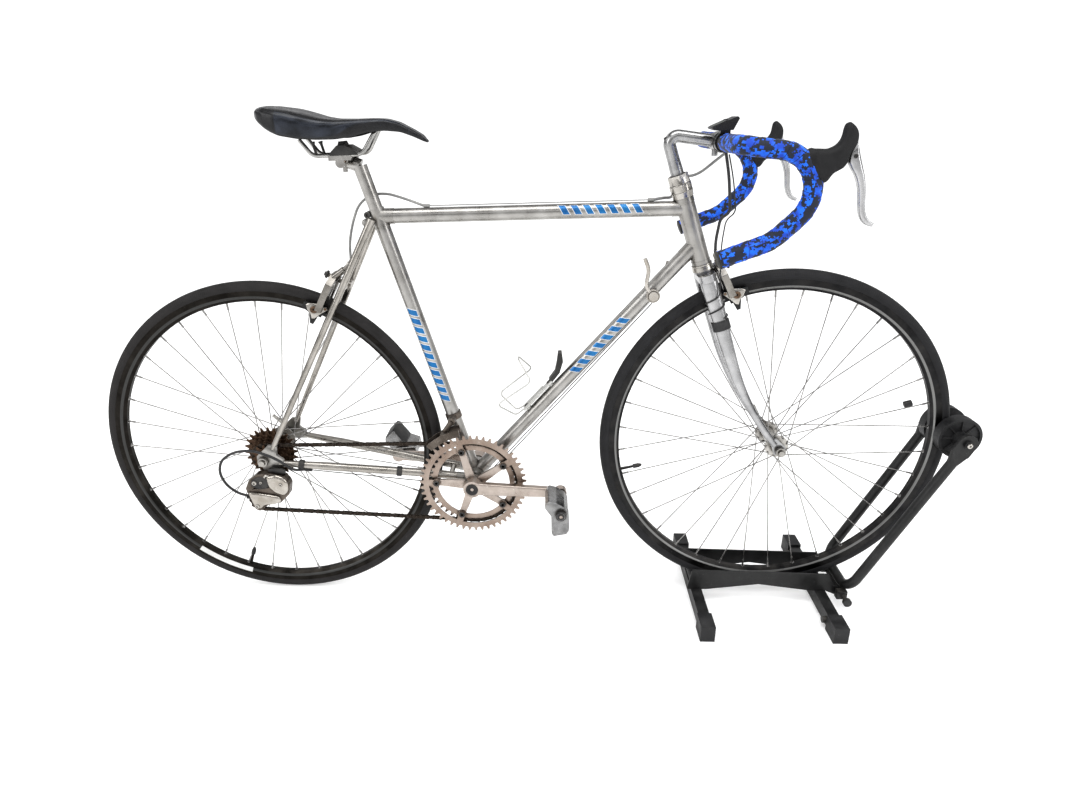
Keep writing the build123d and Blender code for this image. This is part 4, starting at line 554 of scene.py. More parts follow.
head_axis = tipped_way(steer_up)
ring_swell, ring_along = np.array((-1.5, 0.7, 1.1, 0.7, -1.5)), (-1.2, -1.2, 0, 1.2, 1.2)
rings = [
    turned_round(tipped(on_steerer(height)), head_axis, radius + ring_swell, ring_along, 48)
    for height, radius in ((376.5, 17.3), (509.5, 17.2))
]
build("head_rings", "frame", race_silver, rings, crease=60)
flats = []
for height, a, h in ((518, 18.9, 4.5), (533, 17.6, 5)):
    flat_profile = ((13.5, a - 0.7, a, a, a - 0.7, 13.5), (-h, -h, -h + 0.6, h - 0.6, h, h))
    flats.append(turned_round(tipped(on_steerer(height)), head_axis, *flat_profile, 8))
build("headset_flats", "front_end", race_silver, flats, crease=20)
cap_axis = tipped_way((-5, 0, 9))
stem_bolt = ((5.2, 5.8, 5.8, 5, 3.2, 3, 1), (0, 0.8, 5.2, 6.2, 6.2, 3.5, 3.5))
neck_top = placed(752.5, 0, 892.8)
build("stem_bolt", "front_end", dark_steel, knob(neck_top - cap_axis * 0.004, cap_axis, *stem_bolt, 20))

# ---- tyres ----
# Narrow black road tyres: a smooth worn crown with fine slanted cuts at its
# shoulders, and thin sidewalls that run into the rims.


def fed(shader, name):
    """The socket that feeds one of a shader's inputs."""
    return shader.inputs[name].links[0].from_socket


def tyre_rubber(name, tone):
    """Black rubber, with cuts beside the crown and a line in the sidewall as relief (u along it, v across)."""
    light = tuple(2.1 * c + 0.004 for c in tone)
    material = finish(
        name, tone, light, (0.5, 0.7),
        relief=0.25, dusty=0.18, dust_tone=(0.09, 0.085, 0.08), scratched=0.1, Specular_IOR_Level=0.3,
    )
    shader = material.node_tree.nodes["Principled BSDF"]
    chart = split(coordinates(shader, "UV"))
    across = stepped("ABSOLUTE", chart["Y"])
    wave = stepped("SINE", times(plus(chart["X"], times(across, 0.35)), 2 * math.pi))
    shoulder = times(ranged(across, 0.3, 0.34), ranged(across, 0.62, 0.58))
    cuts = times(ranged(wave, 0.55, 0.8), shoulder)
    band = times(ranged(far_from(across, 0.72), 0, 0.02, 1, 0), 0.6)
    crown = times(ranged(across, 0.3, 0.05), 0.35)
    feed(
        shader,
        Normal=bumped(times(plus(cuts, band), -1), 0.6, 0.0006, Normal=fed(shader, "Normal")),
        Base_Color=mixed(crown, fed(shader, "Base Color"), (0.026, 0.025, 0.024)),
    )
    return material


tyre_radius, casing_radius, casing_thick = 0.334, 0.0115, 0.0016
wheel_turn = circle(420)[:, None]


def about_axle(axle, out, side, turn=wheel_turn):
    """A profile of radius and sideways place, carried round an axle."""
    flat = 0 * out * turn
    return np.stack((axle[0] + out * np.cos(turn), axle[1] + side + flat, axle[2] + out * np.sin(turn)), -1)


section_turn = np.linspace(-1, 1, 33)
ridge = 0.00025 * np.exp(-(((np.abs(section_turn) - 0.66) / 0.015) ** 2))
bulge = np.radians(142) * np.concatenate((section_turn, section_turn[::-1]))
reach = np.concatenate((casing_radius + ridge, casing_radius - casing_thick + 0 * ridge))
profile_out = tyre_radius - casing_radius + reach * np.cos(bulge)
profile_side = reach * np.sin(bulge)
tread_u = np.linspace(0, 520, 421)
tread_v = np.concatenate((section_turn, section_turn[::-1], [-1]))
wheels = (
    ("front", front_axle, (0.01, 0.01, 0.011)),
    ("rear", rear_axle, (0.012, 0.011, 0.011)),
)
rubbers = [tyre_rubber(end + "_tyre_rubber", tone) for end, axle, tone in wheels]
for (end, axle, tone), rubber in zip(wheels, rubbers):
    casing = (about_axle(axle, profile_out, profile_side), True, True, False, tread_u, tread_v)
    build(end + "_tyre_tread", end + "_wheel", rubber, casing, (end + "_tyre",), crease=70)

# ---- rims, spokes and hubs ----
# Dark box-section alloy rims with a thin grey line where the brake pads rub,
# plain steel spokes in pressed eyelets, and polished hubs with quick releases.


def dress_rim(end, axle, dark, light, rough, track):
    """Dresses one rim in dark alloy, with turning marks and a brake track (inner, outer radius, grey)."""
    wear = {"relief": 0.08, "worn": 0.4, "dusty": 0.25, "scratched": 0.4}
    material = alloy(end + "_rim_dark", dark, light, rough, **wear, on=end + "_rim")
    shader = material.node_tree.nodes["Principled BSDF"]
    place = add(shader, "Mapping", Vector=coordinates(shader, "Object"), Location=(-axle[0], 0, -axle[2]))
    parts = split(place.outputs[0])
    out = stepped("SQRT", plus(times(parts["X"], parts["X"]), times(parts["Z"], parts["Z"])))
    turning = noise(add(shader, "CombineXYZ", X=out, Y=parts["Y"]).outputs[0], 2400)
    inner, outer, grey = track
    band = times(ranged(out, inner, inner + 0.0008), ranged(out, outer, outer - 0.0008))
    feed(
        shader,
        Normal=bumped(turning, 0.12, 0.0002, Normal=fed(shader, "Normal")),
        Base_Color=mixed(band, fed(shader, "Base Color"), (grey, grey, grey * 0.98)),
    )


front_tones = ((0.016, 0.016, 0.017), (0.04, 0.04, 0.041), (0.28, 0.42), (0.301, 0.3058, 0.24))
rear_tones = ((0.011, 0.01, 0.009), (0.03, 0.027, 0.024), (0.3, 0.46), (0.3015, 0.3075, 0.075))
dress_rim("front", front_axle, *front_tones)
dress_rim("rear", rear_axle, *rear_tones)
spoke_steel = alloy(
    "spoke_steel", (0.24, 0.235, 0.23), (0.44, 0.43, 0.42), (0.18, 0.32), relief=0.03, dusty=0.1,
    on="front_spokes rear_spokes",
)
alloy(
    "hub_silver", (0.34, 0.33, 0.31), (0.6, 0.58, 0.55), (0.16, 0.32),
    relief=0.08, worn=0.7, dusty=0.35, dust_tone=(0.2, 0.17, 0.13), grime=1,
    on="front_hub rear_hub front_axle rear_axle",
)

rim_inner = 0.2965
spoke_index = np.arange(36)
eyelet = np.array(((2, 0), (3.5, 0), (3.9, 0.6), (3.3, 1.2), (2, 1.2))) / 1000
for end, axle, first in (("front", front_axle, 4), ("rear", rear_axle, 9)):
    turn = nose_up + np.radians(first + 10 * spoke_index)
    lean = np.where(spoke_index % 2 == 0, 0.0009, -0.0009)
    radial, tangent = (toward(t)[:, None, None] for t in (turn, turn + math.pi / 2))
    centre = axle + radial * (rim_inner + 0.0008) + lean[:, None, None, None] * leftward
    round_it = circle(12)[None, :, None, None]
    points = centre + (np.cos(round_it) * tangent + np.sin(round_it) * leftward) * eyelet[None, None, :, :1]
    points = points - radial * eyelet[None, None, :, 1:]
    build(end + "_eyelets", end + "_wheel", spoke_steel, (points, True, True, False, None, None), crease=50)

label_turn = np.radians(np.linspace(231, 253, 25))[:, None]
label_radii = np.array((0.2995, 0.3025, 0.3085, 0.311))
label_back, label_face = (about_axle(rear_axle, label_radii, -side, label_turn) for side in (0.00995, 0.0104))
label_paper = finish("blank_label", (0.55, 0.55, 0.54), (0.78, 0.78, 0.77), (0.35, 0.5), relief=0.05, dusty=0.2)
build("rim_label", "rear_wheel", label_paper, np.concatenate((label_back, label_face[:, ::-1]), axis=1))

cap_plastic = finish("cap_plastic", (0.008, 0.008, 0.009), (0.022, 0.022, 0.023), (0.4, 0.6), dusty=0.2)
valve_cap = ((3.4, 4.2, 4.4, 4.2, 3, 1.2), (0, 0.6, 6, 11, 15.5, 17.5))
for end, axle, turn in (("front", front_axle, 192), ("rear", rear_axle, 250)):
    way = -toward(math.radians(turn) + nose_up)
    cap = knob(axle - way * (rim_inner - 0.0235), way, *valve_cap, 16)
    build(end + "_wheel_valve_cap", end + "_wheel", cap_plastic, cap)
magnet = np.array((0.705131, -0.0185, 0.4395))
spoke_way = unit(magnet - front_axle)
magnet_body = ((3, 5.8, 6.2, 6.2, 5.8, 3), (0, 0.8, 2, 12.5, 14.5, 15.2))
build("spoke_magnet", "front_wheel", cap_plastic, knob(magnet - spoke_way * 0.008, spoke_way, *magnet_body, 14))

# ---- bar tape ----
# Cushioned tape wound round each half of the bar with overlapping turns, with a
# blue and black block camouflage, and plugged at the drops' ends.


def rounded(corners, radii, step=2):
    """Points along straight runs joined by arcs, each swung between its two tangent points."""
    corners = [np.array(c, float) for c in corners]
    path = [corners[0][None]]
    for before, corner, after, radius in zip(corners, corners[1:], corners[2:], radii):
        back, ahead = unit(before - corner), unit(after - corner)
        half = math.acos(np.clip(back @ ahead, -1, 1)) / 2
        centre = corner + unit(back + ahead) * radius / math.sin(half)
        start = corner + back * radius / math.tan(half) - centre
        end = corner + ahead * radius / math.tan(half) - centre
        swing = math.acos(np.clip(unit(start) @ unit(end), -1, 1))
        share = np.linspace(0, 1, max(4, int(radius * swing / step)))[:, None]
        arc = (np.sin((1 - share) * swing) * start + np.sin(share * swing) * end) / math.sin(swing)
        path.append(centre + arc)
    return np.concatenate(path + [corners[-1][None]])


def run_along(path):
    """The distance of each point of a path from its start."""
    return np.concatenate(([0], np.cumsum(np.linalg.norm(np.diff(path, axis=0), axis=1))))


def read_along(path, run, at):
    """The places at chosen distances along a path."""
    return np.stack([np.interp(at, run, column) for column in path.T], -1)


def spaced(path, step):
    """The same path at even steps along its length, and the distance at each."""
    run = run_along(path)
    at = np.linspace(0, run[-1], max(3, int(run[-1] / step)))
    return read_along(path, run, at), at


def piped(path, reach, count, first):
    """A tube of a reach for each row or point, carried along a path with no twist.

    The up way of each row is the last one's, laid flat on the new run."""
    way = unit(np.gradient(path, axis=0))
    up = np.zeros_like(path)
    last = np.array(first, float)
    for row, ahead in enumerate(way):
        last = unit(last - ahead * (last @ ahead))
        up[row] = last
    side = np.cross(way, up)
    reach = np.broadcast_to(reach, (len(path), count))[..., None]
    angle = circle(count)[None, :, None]
    return path[:, None] + reach * np.cos(angle) * side[:, None] + reach * np.sin(angle) * up[:, None]


bar_centre = np.array((840.96, 0, 884.15))
bar_half, ramp, lower, tail = 172, math.radians(8), math.radians(138), math.radians(161)
ramp_long, hook_radius, bend_long, drop_long = 51, 58, 47, 81


def bar_corners(side):
    """Level corner points of one half of the bar, from its centre to the drop's end."""
    hook = bar_centre + ramp_long * toward(-ramp) - hook_radius * toward(math.pi / 2 - ramp)
    swing = (lower - ramp) / 4
    far = hook_radius / math.cos(swing)
    spots = [hook + r * toward(math.pi / 2 - ramp - swing * k) for r, k in ((far, 1), (far, 3), (hook_radius, 4))]
    spots[2] = spots[2] + bend_long * toward(-lower)
    spots.append(spots[2] + drop_long * toward(-tail))
    out = side * bar_half * leftward
    return [bar_centre, bar_centre + out] + [spot + out for spot in spots]


tape_start, tape_radius, turn_pitch = 42, 14.6, 21
camo, shader = new_material("camo_tape")
chart = coordinates(shader, "UV")
blocks = vector_of("SNAP", chart, i1=(0.0022, 0.0022, 1))[0]
shade = noise(vector_of("ADD", blocks, i1=(3.7, 1.9, 0))[0], 60)
thread = add(shader, "TexWave", {"bands_direction": "DIAGONAL"}, Vector=chart, Scale=420, Distortion=1.5).outputs[1]
pitting = noise(chart, 1500, 3, 0.7)
tone = mixed(ranged(shade, 0.44, 0.6), (0.004, 0.15, 0.82), (0.003, 0.055, 0.46))
tone = mixed(ranged(noise(blocks, 78, 3, 0.6), 0.49, 0.5), tone, (0.008, 0.009, 0.014))
tone = mixed(times(pitting, 0.1), tone, (0.16, 0.24, 0.5))
parts = split(chart)
turns = plus(times(parts["X"], 1000 / turn_pitch), times(parts["Y"], 1000 / (2 * math.pi * tape_radius)))
# A darker line along each overlap of the wound turns: painted shade in the crease where one turn lies on the next.
seam = ranged(far_from(stepped("FRACT", plus(turns, 0.5)), 0.5), 0.012, 0.045, 0.75, 0)
feed(
    shader,
    Base_Color=mixed(seam, tone, (0.004, 0.008, 0.03)),
    Roughness=ranged(pitting, 0.3, 0.7, 0.5, 0.72),
    Normal=bumped(plus(times(thread, 0.4), pitting), 0.35, 0.0004),
    Sheen_Weight=0.1,
    Specular_IOR_Level=0.35,
)

bar_radii = (40, 0.98 * hook_radius, 0.98 * hook_radius, 80)
tape_step = 1.5
plug = ((11.2, 14, 14.3, 13.5, 10, 6), (0, 1, 2.6, 3.8, 4.5, 4.3))
end_band = ((12.2, 13.4, 13.8, 13.8, 13.2), (0, 0.4, 1.2, 15, 16.2))
around = circle(40)
for side, label in sides:
    corners = bar_corners(side)
    corners[0] = bar_centre + side * tape_start * leftward
    path, run = spaced(rounded(corners, bar_radii), tape_step)
    phase = (run[:, None] / turn_pitch + side * around[None] / (2 * math.pi)) % 1
    reach = tape_radius - 1 * phase**0.6 - 0.5 * np.exp(-((phase - 0.02) / 0.03) ** 2)
    reach = reach * (1 - 0.08 * np.exp(-run[:, None] / 3)) + 0.25 * np.sin(5 * around + run[:, None] / 17)
    reach = np.minimum(reach, tape_radius)
    rolled = np.array((0.72, 0.93, 1))[:, None]
    reach[:3] *= rolled
    reach[-3:] *= rolled[::-1]
    u = np.append(run, run[-1] + tape_step) / 1000 + (0 if side < 0 else 0.42)
    v = side * np.linspace(0, 2 * math.pi * tape_radius / 1000, 41)
    wound = (tipped(piped(path, reach, 40, (0, 0, 1))), False, True, True, u, v)
    build("bar_tape_" + label, "front_end", camo, wound, ("bar_tape",) * (side < 0), crease=60)
    plug_way = tipped_way(path[-1] - path[-4])
    plug_foot = tipped(path[-1]) - plug_way * 0.003
    build("bar_plug_" + label, "front_end", cap_plastic, knob(plug_foot, plug_way, *plug, 32))
    band_foot = tipped(bar_centre + side * (tape_start + 1.5) * leftward) - side * 0.008 * leftward
    band = knob(band_foot, side * leftward, *end_band, 32)
    build("tape_end_band_" + label, "front_end", cap_plastic, band)

# ---- lever hoods ----
# Moulded black rubber covers that run from the tape over the lever bodies into
# tall rounded horns, with a soft ridge round each mouth.
hood_rubber = finish(
    "hood_rubber", (0.009, 0.009, 0.01), (0.021, 0.021, 0.022), (0.5, 0.68),
    scale=1.4, relief=0.45, dusty=0.15, dust_tone=0.08, scratched=0.05, Specular_IOR_Level=0.3,
)


def superellipse(turn, power):
    """The cosine and sine of a circle, drawn out towards a rounded square by a power."""
    return [np.sign(part) * np.abs(part) ** power for part in (np.cos(turn), np.sin(turn))]


def lofted(tops, bottoms, halves, y, fullness=2.5, columns=36, rows=60):
    """A body between two outlines: each row is a superellipse from the top to the bottom line, of a half width."""
    tops, bottoms, halves = (np.array(v, float) for v in (tops, bottoms, halves))
    last = len(tops) - 1
    t = np.linspace(0, 1, rows)
    k = np.clip((t * last).astype(int), 0, last - 1)
    f = t * last - k

    def smooth(values):
        """Values along the rows, by a rounded blend between the stations."""
        before, after = values[np.maximum(k - 1, 0)], values[np.minimum(k + 2, last)]
        a, b = values[k], values[k + 1]
        bend = (2 * before - 5 * a + 4 * b - after) * f**2 + (3 * a - before - 3 * b + after) * f**3
        return 0.5 * (2 * a + (b - before) * f + bend)

    top, low = (np.stack((smooth(line[:, 0]), smooth(line[:, 1])), -1) for line in (tops, bottoms))
    lift, wide = superellipse(circle(columns)[None], 2 / fullness)
    spot = ((top + low) / 2)[:, None] + ((top - low) / 2)[:, None] * lift[..., None]
    return at_side(spot, y + wide * smooth(halves)[:, None])


hood_tops = [
    (922, 874), (930, 877.5), (942, 877.5), (955, 877), (963, 879.5), (969, 883.5),
    (973.5, 889.5), (975.5, 896), (976, 903), (977.5, 908.5), (980, 911), (983, 912),
]
hood_lows = [
    (940, 836), (948, 830), (958, 830.5), (966, 841), (974, 846), (980.5, 850),
    (985.5, 858), (988.5, 870), (996, 882), (996.5, 895), (992.5, 904), (986.5, 910),
]
hood_half = [13, 14.6, 14.8, 14.2, 13.6, 13.2, 12.6, 11.6, 10.8, 10, 7.6, 3]
mouth_ridge = 1 + 0.045 * np.exp(-(((np.linspace(0, 1, 60) - 0.115) / 0.018) ** 2))[:, None, None]
for side, label in sides:
    hood = lofted(hood_tops, hood_lows, hood_half, side * bar_half)
    core = hood.mean(axis=1, keepdims=True)
    hood = core + (hood - core) * mouth_ridge
    build("lever_hood_" + label, "front_end", hood_rubber, hood, ("lever_hoods",) * (side < 0), 50)

# ---- brake levers ----
# Forged and polished alloy blades with three-cornered heads on dark pivot
# screws, thin at the middle and curled forward at their tips.
lever_fronts = [
    (996.5, 886.5), (999.6, 876), (1003.5, 864), (1008.5, 850), (1013.2, 836), (1016.6, 820),
    (1018.4, 804), (1019.8, 791), (1023.5, 780.5), (1029.5, 773.5), (1036, 770.2),
]
lever_backs = [
    (994.5, 885), (989, 874), (986.5, 862), (990.5, 851), (999, 838), (1005.6, 821),
    (1008.5, 805), (1010.2, 791), (1014.5, 777.5), (1022.5, 768.5), (1033, 764.5),
]
lever_half = [5, 7.2, 7.5, 7.5, 7.2, 6.8, 6.4, 6.2, 6, 5.6, 3.6]
lever_silver = alloy(
    "lever_silver", (0.38, 0.38, 0.385), (0.6, 0.6, 0.605), (0.16, 0.28),
    relief=0.06, worn=0.3, dusty=0.1, scratched=0.6, grime=0.5,
)
pivot_screw = ((1.2, 2.2, 3, 3.2, 3.2, 3, 2.2, 1.2), (0.6, 0.6, 0, 0.6, 17, 17.6, 17, 17))
for side, label in sides:
    blade = lofted(lever_fronts, lever_backs, lever_half, side * bar_half, 3.2, 28, 56)
    stands = ("brake_levers",) * (side < 0)
    build("brake_lever_" + label, "front_end", lever_silver, blade, stands, 55)
    screw_foot = placed(994.5, side * bar_half - 8.8, 866)
    build("lever_pivot_" + label, "front_end", dark_steel, knob(screw_foot, leftward, *pivot_screw, 20))

# ---- saddle ----
# A slim padded racing saddle, tail high and nose drooping, under a tight black
# cover with raised seams and side panels whose lighter, streaked blue-grey is
# painted sheen, on bent steel rails over a black clamp plate and an alloy post.
tail_at, nose_at = 72.5, 351.5
crown_line = (
    (tail_at, 946), (74.3, 952.5), (84.4, 960.3), (98.2, 961.9), (133.6, 956.8), (155.3, 950.9), (181.3, 942.9),
    (203.4, 939.1), (239.5, 938.1), (268.8, 938.3), (286.7, 936.7), (306.3, 930.9), (327.8, 918.8), (345, 908.8),
    (nose_at, 899),
)
skirt_line = (
    (tail_at, 944), (79, 938.5), (88, 930), (97, 921.5), (106.8, 914), (121.5, 906.5), (150.4, 901), (175, 900),
    (206, 900.5), (231, 904.5), (255, 911.5), (280, 913.9), (309.7, 911.8), (329.3, 905), (346.5, 897), (nose_at, 896),
)
plan_line = (
    (tail_at, 26), (77, 42), (86, 57), (98, 65), (116, 68.5), (140, 68), (160, 63), (182, 54), (205, 44),
    (228, 34.5), (250, 27.5), (275, 22.5), (300, 20), (325, 18.5), (343, 14.5), (nose_at, 6),
)
half_circle = np.linspace(0, math.pi, 120)[:, None]
lengthwise = tail_at + (nose_at - tail_at) * (1 - np.cos(half_circle)) / 2


def soft_line(line, width):
    """A measured line read along the saddle, averaged over a few millimetres so that it has no corners."""
    x, values = np.array(line).T
    return np.mean([np.interp(lengthwise + s, x, values) for s in np.linspace(-width, width, 9)], axis=0)


def bell(value, width, power=2):
    """A smooth hump about zero."""
    return np.exp(-((value / width) ** power))


def ramped(value, low, high):
    """A share that rises from 0 at one value to 1 at another."""
    return np.clip((value - low) / (high - low), 0, 1)


crown, skirt, half_plan = soft_line(crown_line, 4), soft_line(skirt_line, 4), soft_line(plan_line, 3)
around = circle(72)[None]
over, under = np.cos(around), np.clip(-np.cos(around), 0, 1)
flat = superellipse(around, 0.62)[1]
depth = crown - skirt
rise = np.where(over >= 0, 0.6 + 0.4 * np.clip(over, 0, 1) ** 0.62, 0.6 * (1 - under**0.3))
hollow = np.minimum(0.42, 14 / np.maximum(depth, 18)) * ramped(-over, 0.35, 0.8) ** 0.8
saddle_y = half_plan * flat * (1 - 0.16 * under**2)
channel = 2.2 * bell(saddle_y, 7) * ramped(over, 0.5, 0.8) * bell(lengthwise - 190, 95, 4)
saddle_z = skirt + depth * (rise + hollow) - channel
# The seams: two raised lines on each side, running from the tail to the nose.
side_turn = np.abs(np.arctan2(np.sin(around), np.cos(around)))
seam_turn = 0.86 + 0.22 * np.sin((lengthwise - 70) / 280 * math.pi * 1.35)
seam_low = seam_turn + 0.62 + 0.22 * np.cos((lengthwise - 72) / 280 * math.pi)
length_share = (lengthwise - tail_at) / (nose_at - tail_at)
seam = bell(side_turn - seam_turn, 0.035) + bell(side_turn - seam_low, 0.035)
seam = seam * np.minimum(ramped(length_share, 0, 0.08), ramped(-length_share, -1, -0.9))
ribs = bell(side_turn - seam_turn - 0.17, 0.1) * np.clip(np.sin(length_share * 46), 0, 1)
ribs = ribs * ramped(-length_share, -0.62, -0.52) * ramped(length_share, 0.2, 0.3)
saddle_z = np.where(over > -0.3, saddle_z + 0.55 * seam + 0.45 * ribs, saddle_z)
saddle_y = saddle_y * np.where(over > -0.3, 1 + 0.01 * seam + 0.012 * ribs, 1)
saddle_cover = finish(
    "saddle_cover", (0.006, 0.006, 0.007), (0.014, 0.014, 0.016), (0.24, 0.4),
    scale=2, relief=0.22, dusty=0.06, dust_tone=(0.09, 0.09, 0.1), scratched=0.1,
    Specular_IOR_Level=0.4, Coat_Weight=0.2, Coat_Roughness=0.3,
)
shader = saddle_cover.node_tree.nodes["Principled BSDF"]
chart = split(coordinates(shader, "UV"))
# The side panels between the seams are tinted a lighter, streaked blue-grey: a painted sheen.
sheen_panel = times(ranged(chart["Y"], 0.02, 0.06), ranged(chart["Y"], 0.98, 0.94))
streak_place = add(shader, "CombineXYZ", X=times(chart["X"], 9), Y=times(chart["Y"], 4)).outputs[0]
streak = ranged(noise(streak_place, 1), 0.35, 0.65)
painted_sheen_tone = mixed(streak, (0.006, 0.0075, 0.011), (0.028, 0.033, 0.046))
feed(shader, Base_Color=mixed(sheen_panel, fed(shader, "Base Color"), painted_sheen_tone))
cover = placed(lengthwise + 0 * saddle_y, saddle_y, saddle_z)
saddle_piece = build("saddle_pad", None, saddle_cover, cover, crease=75)
panel_v = np.clip((side_turn - seam_turn) / np.maximum(seam_low - seam_turn, 0.05), -0.5, 1.5)
panel_v = np.where((length_share > 0.16) & (length_share < 0.9), panel_v, -0.5)
corner_vertex = np.zeros(len(saddle_piece.data.loops), np.int32)
saddle_piece.data.loops.foreach_get("vertex_index", corner_vertex)
vertex_chart = np.stack((np.broadcast_to(length_share, panel_v.shape), panel_v), -1).reshape(-1, 2)
panel_chart = vertex_chart[corner_vertex].astype(np.float32).ravel()
saddle_piece.data.uv_layers["along"].data.foreach_set("uv", panel_chart)
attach(saddle_piece, "frame")
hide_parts("saddle")
alloy(
    "rail_steel", (0.34, 0.34, 0.33), (0.58, 0.57, 0.55), (0.2, 0.34), relief=0.06, worn=0.3, dusty=0.2,
    on="saddle_rails",
)
alloy(
    "post_silver", (0.3, 0.29, 0.275), (0.54, 0.53, 0.51), (0.16, 0.3), lean=-seat_angle,
    stretch=(0.06, 1, 1), worn=0.6, dusty=0.3, dust_tone=(0.25, 0.2, 0.15), scratched=0.9, on="seatpost",
)
black_paint = finish("black_paint", 0.012, 0.03, (0.32, 0.5), relief=0.16, worn=0.35, worn_tone=0.12, dusty=0.3)
dress(black_paint, "saddle_clamp")

# ---- saddle clamp parts ----
# The ribbed alloy barrel under the rails with its browned bolts, the binder in
# the seat lug, and the black painted struts and peak that hold the rails.
clamp_x, clamp_z = 204.5, 876
rib_at = np.linspace(-21, 21, 57)
rib_radius = 8.8 + 0.6 * np.sign(np.sin(rib_at * math.pi / 1.5))
barrel = ((4, *rib_radius, 4), (rib_at[0], *rib_at, rib_at[-1]))
barrel_place = placed(clamp_x, 0, clamp_z - 2.5)
build("clamp_barrel", "frame", race_silver, knob(barrel_place, leftward, *barrel, 28), crease=35)
bolt_metal = finish(
    "browned_steel", (0.1, 0.055, 0.03), (0.3, 0.22, 0.16), (0.35, 0.6), metal=0.8, relief=0.3, worn=0.6, dusty=0.4
)
clamp_bolt = ((6.5, 7.2, 7.2, 6.2, 3.4, 3), (0, 0.6, 4.2, 5.2, 5.2, 3))
binder = ((2.2, 5.2, 5.8, 5.8, 5, 2.6, 2.2), (0, 0, 0.6, 4.8, 5.6, 5.6, 3))
clamp_bolts, binders, struts = [], [], []
for side, label in sides:
    bolt_place = placed(clamp_x + 2, side * 21.5, clamp_z - 3)
    clamp_bolts.append(knob(bolt_place, side * leftward, *clamp_bolt, 6))
    binder_place = placed(seat_lug_at - 18, side * 6.2, top_tube_high + 3.5)
    binders.append(knob(binder_place, side * leftward, *binder, 20))
    strut_line = [(160.5, side * 21, 903.5), (163, side * 22, 892), (165, side * 22, 883)]
    path = spaced(rounded(strut_line, (20,), 0.7), 1.5)[0]
    struts.append(tipped(piped(path, 2.3 + 1.8 * bell(path[:, 2:] - 903, 3), 12, (1, 0, 0))))
build("clamp_bolts", "frame", bolt_metal, clamp_bolts, crease=25)
build("seat_binder", "frame", dark_steel, binders)
build("rail_struts", "frame", black_paint, struts)
peak_line = [
    (181, 883.5), (192, 887), (199, 895), (202, 903), (209, 903.5),
    (213, 895), (220, 888), (231, 884.5), (231, 882), (181, 881),
]
build("clamp_peak", "frame", black_paint, plate(peak_line, 30, 1), crease=35)

# ---- crankset ----
# Alloy crank arms and a five-armed spider, aged to a pinkish silver, with two
# toothed rings held by dark bolts, black dust caps and a steel spindle.
aged = alloy(
    "aged_alloy", (0.34, 0.29, 0.255), (0.6, 0.53, 0.48), (0.2, 0.38), relief=0.12, worn=0.7, grime=0.9,
    worn_tone=(0.82, 0.79, 0.76), dusty=0.35, dust_tone=(0.22, 0.16, 0.12), scratched=0.9,
    on="crank_right crank_left",
)
alloy(
    "ring_alloy", (0.25, 0.19, 0.155), (0.5, 0.42, 0.365), (0.26, 0.48), relief=0.12, worn=1, grime=1,
    worn_tone=(0.72, 0.66, 0.6), dusty=0.55, dust_tone=(0.1, 0.07, 0.05), scratched=0.9, on="chainrings",
)
dress(dark_steel, "bottom_bracket_spindle")
dress(race_silver, "bottom_bracket_cups")
crank_axle = middle_of(*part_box("bottom_bracket_spindle"))
bolt_circle = 0.072
ring_bolt = ((1.2, 2.6, 3, 5.2, 5.8, 5.8, 2), (1.2, 1.2, 2.6, 2.8, 2.2, 0, 0))
ring_bolts = [
    knob(crank_axle + bolt_circle * toward(turn) - 0.0484 * leftward, -leftward, *ring_bolt, 20)
    for turn in nose_up + math.radians(33) + circle(5)
]
build("ring_bolts", "crankset", dark_steel, ring_bolts, crease=30)
dust_cap = ((11, 11.8, 11.8, 10.5, 7, 6.4, 3.5, 3, 0.4), (0, 0, 1.2, 2, 2, 1, 1, 0.4, 0.4))
cap_ring = ((12, 13.6, 14.2, 13.6, 12), (0, 0.8, 0.2, -0.2, -0.2))
for side, label in sides:
    face = crank_axle + side * 0.0685 * leftward
    build("crank_cap_" + label, "crankset", cap_plastic, knob(face, side * leftward, *dust_cap, 28), crease=30)
    washer = turned_round(face, side * leftward, *cap_ring, 36)
    build("crank_cap_ring_" + label, "crankset", aged, washer, crease=60)

# ---- chain ----
# A bushed roller chain: pairs of waisted inner and outer plates on pins, dark
# with old oil, one loop over the inner ring, a sprocket and the two pulleys.
chain_steel = finish(
    "chain_steel", (0.01, 0.008, 0.006), (0.055, 0.043, 0.034), (0.3, 0.55), metal=0.85, scale=3,
    relief=0.2, worn=0.8, worn_tone=(0.26, 0.22, 0.19), dusty=0.5, dust_tone=(0.05, 0.035, 0.025),
)
chain_pitch, ring_teeth, sprocket_teeth, pulley_radius = 12.7, 42, 13, 20.5
ring_plane, sprocket_plane = -40, -53.5
pulleys = ((3, axle_high - 53), (-26, axle_high - 93))


def belt(first, second):
    """The tangent points of a belt between two circles: its normal leans by their signed radii over their distance."""
    (a, ra, wa), (b, rb, wb) = first, second
    run = b - a
    length = np.linalg.norm(run)
    u = run / length
    k = (wb * rb - wa * ra) / length
    c = math.sqrt(1 - k * k)
    n = np.array((k * u[0] - c * u[1], k * u[1] + c * u[0]))
    return a - wa * ra * n, b - wb * rb * n


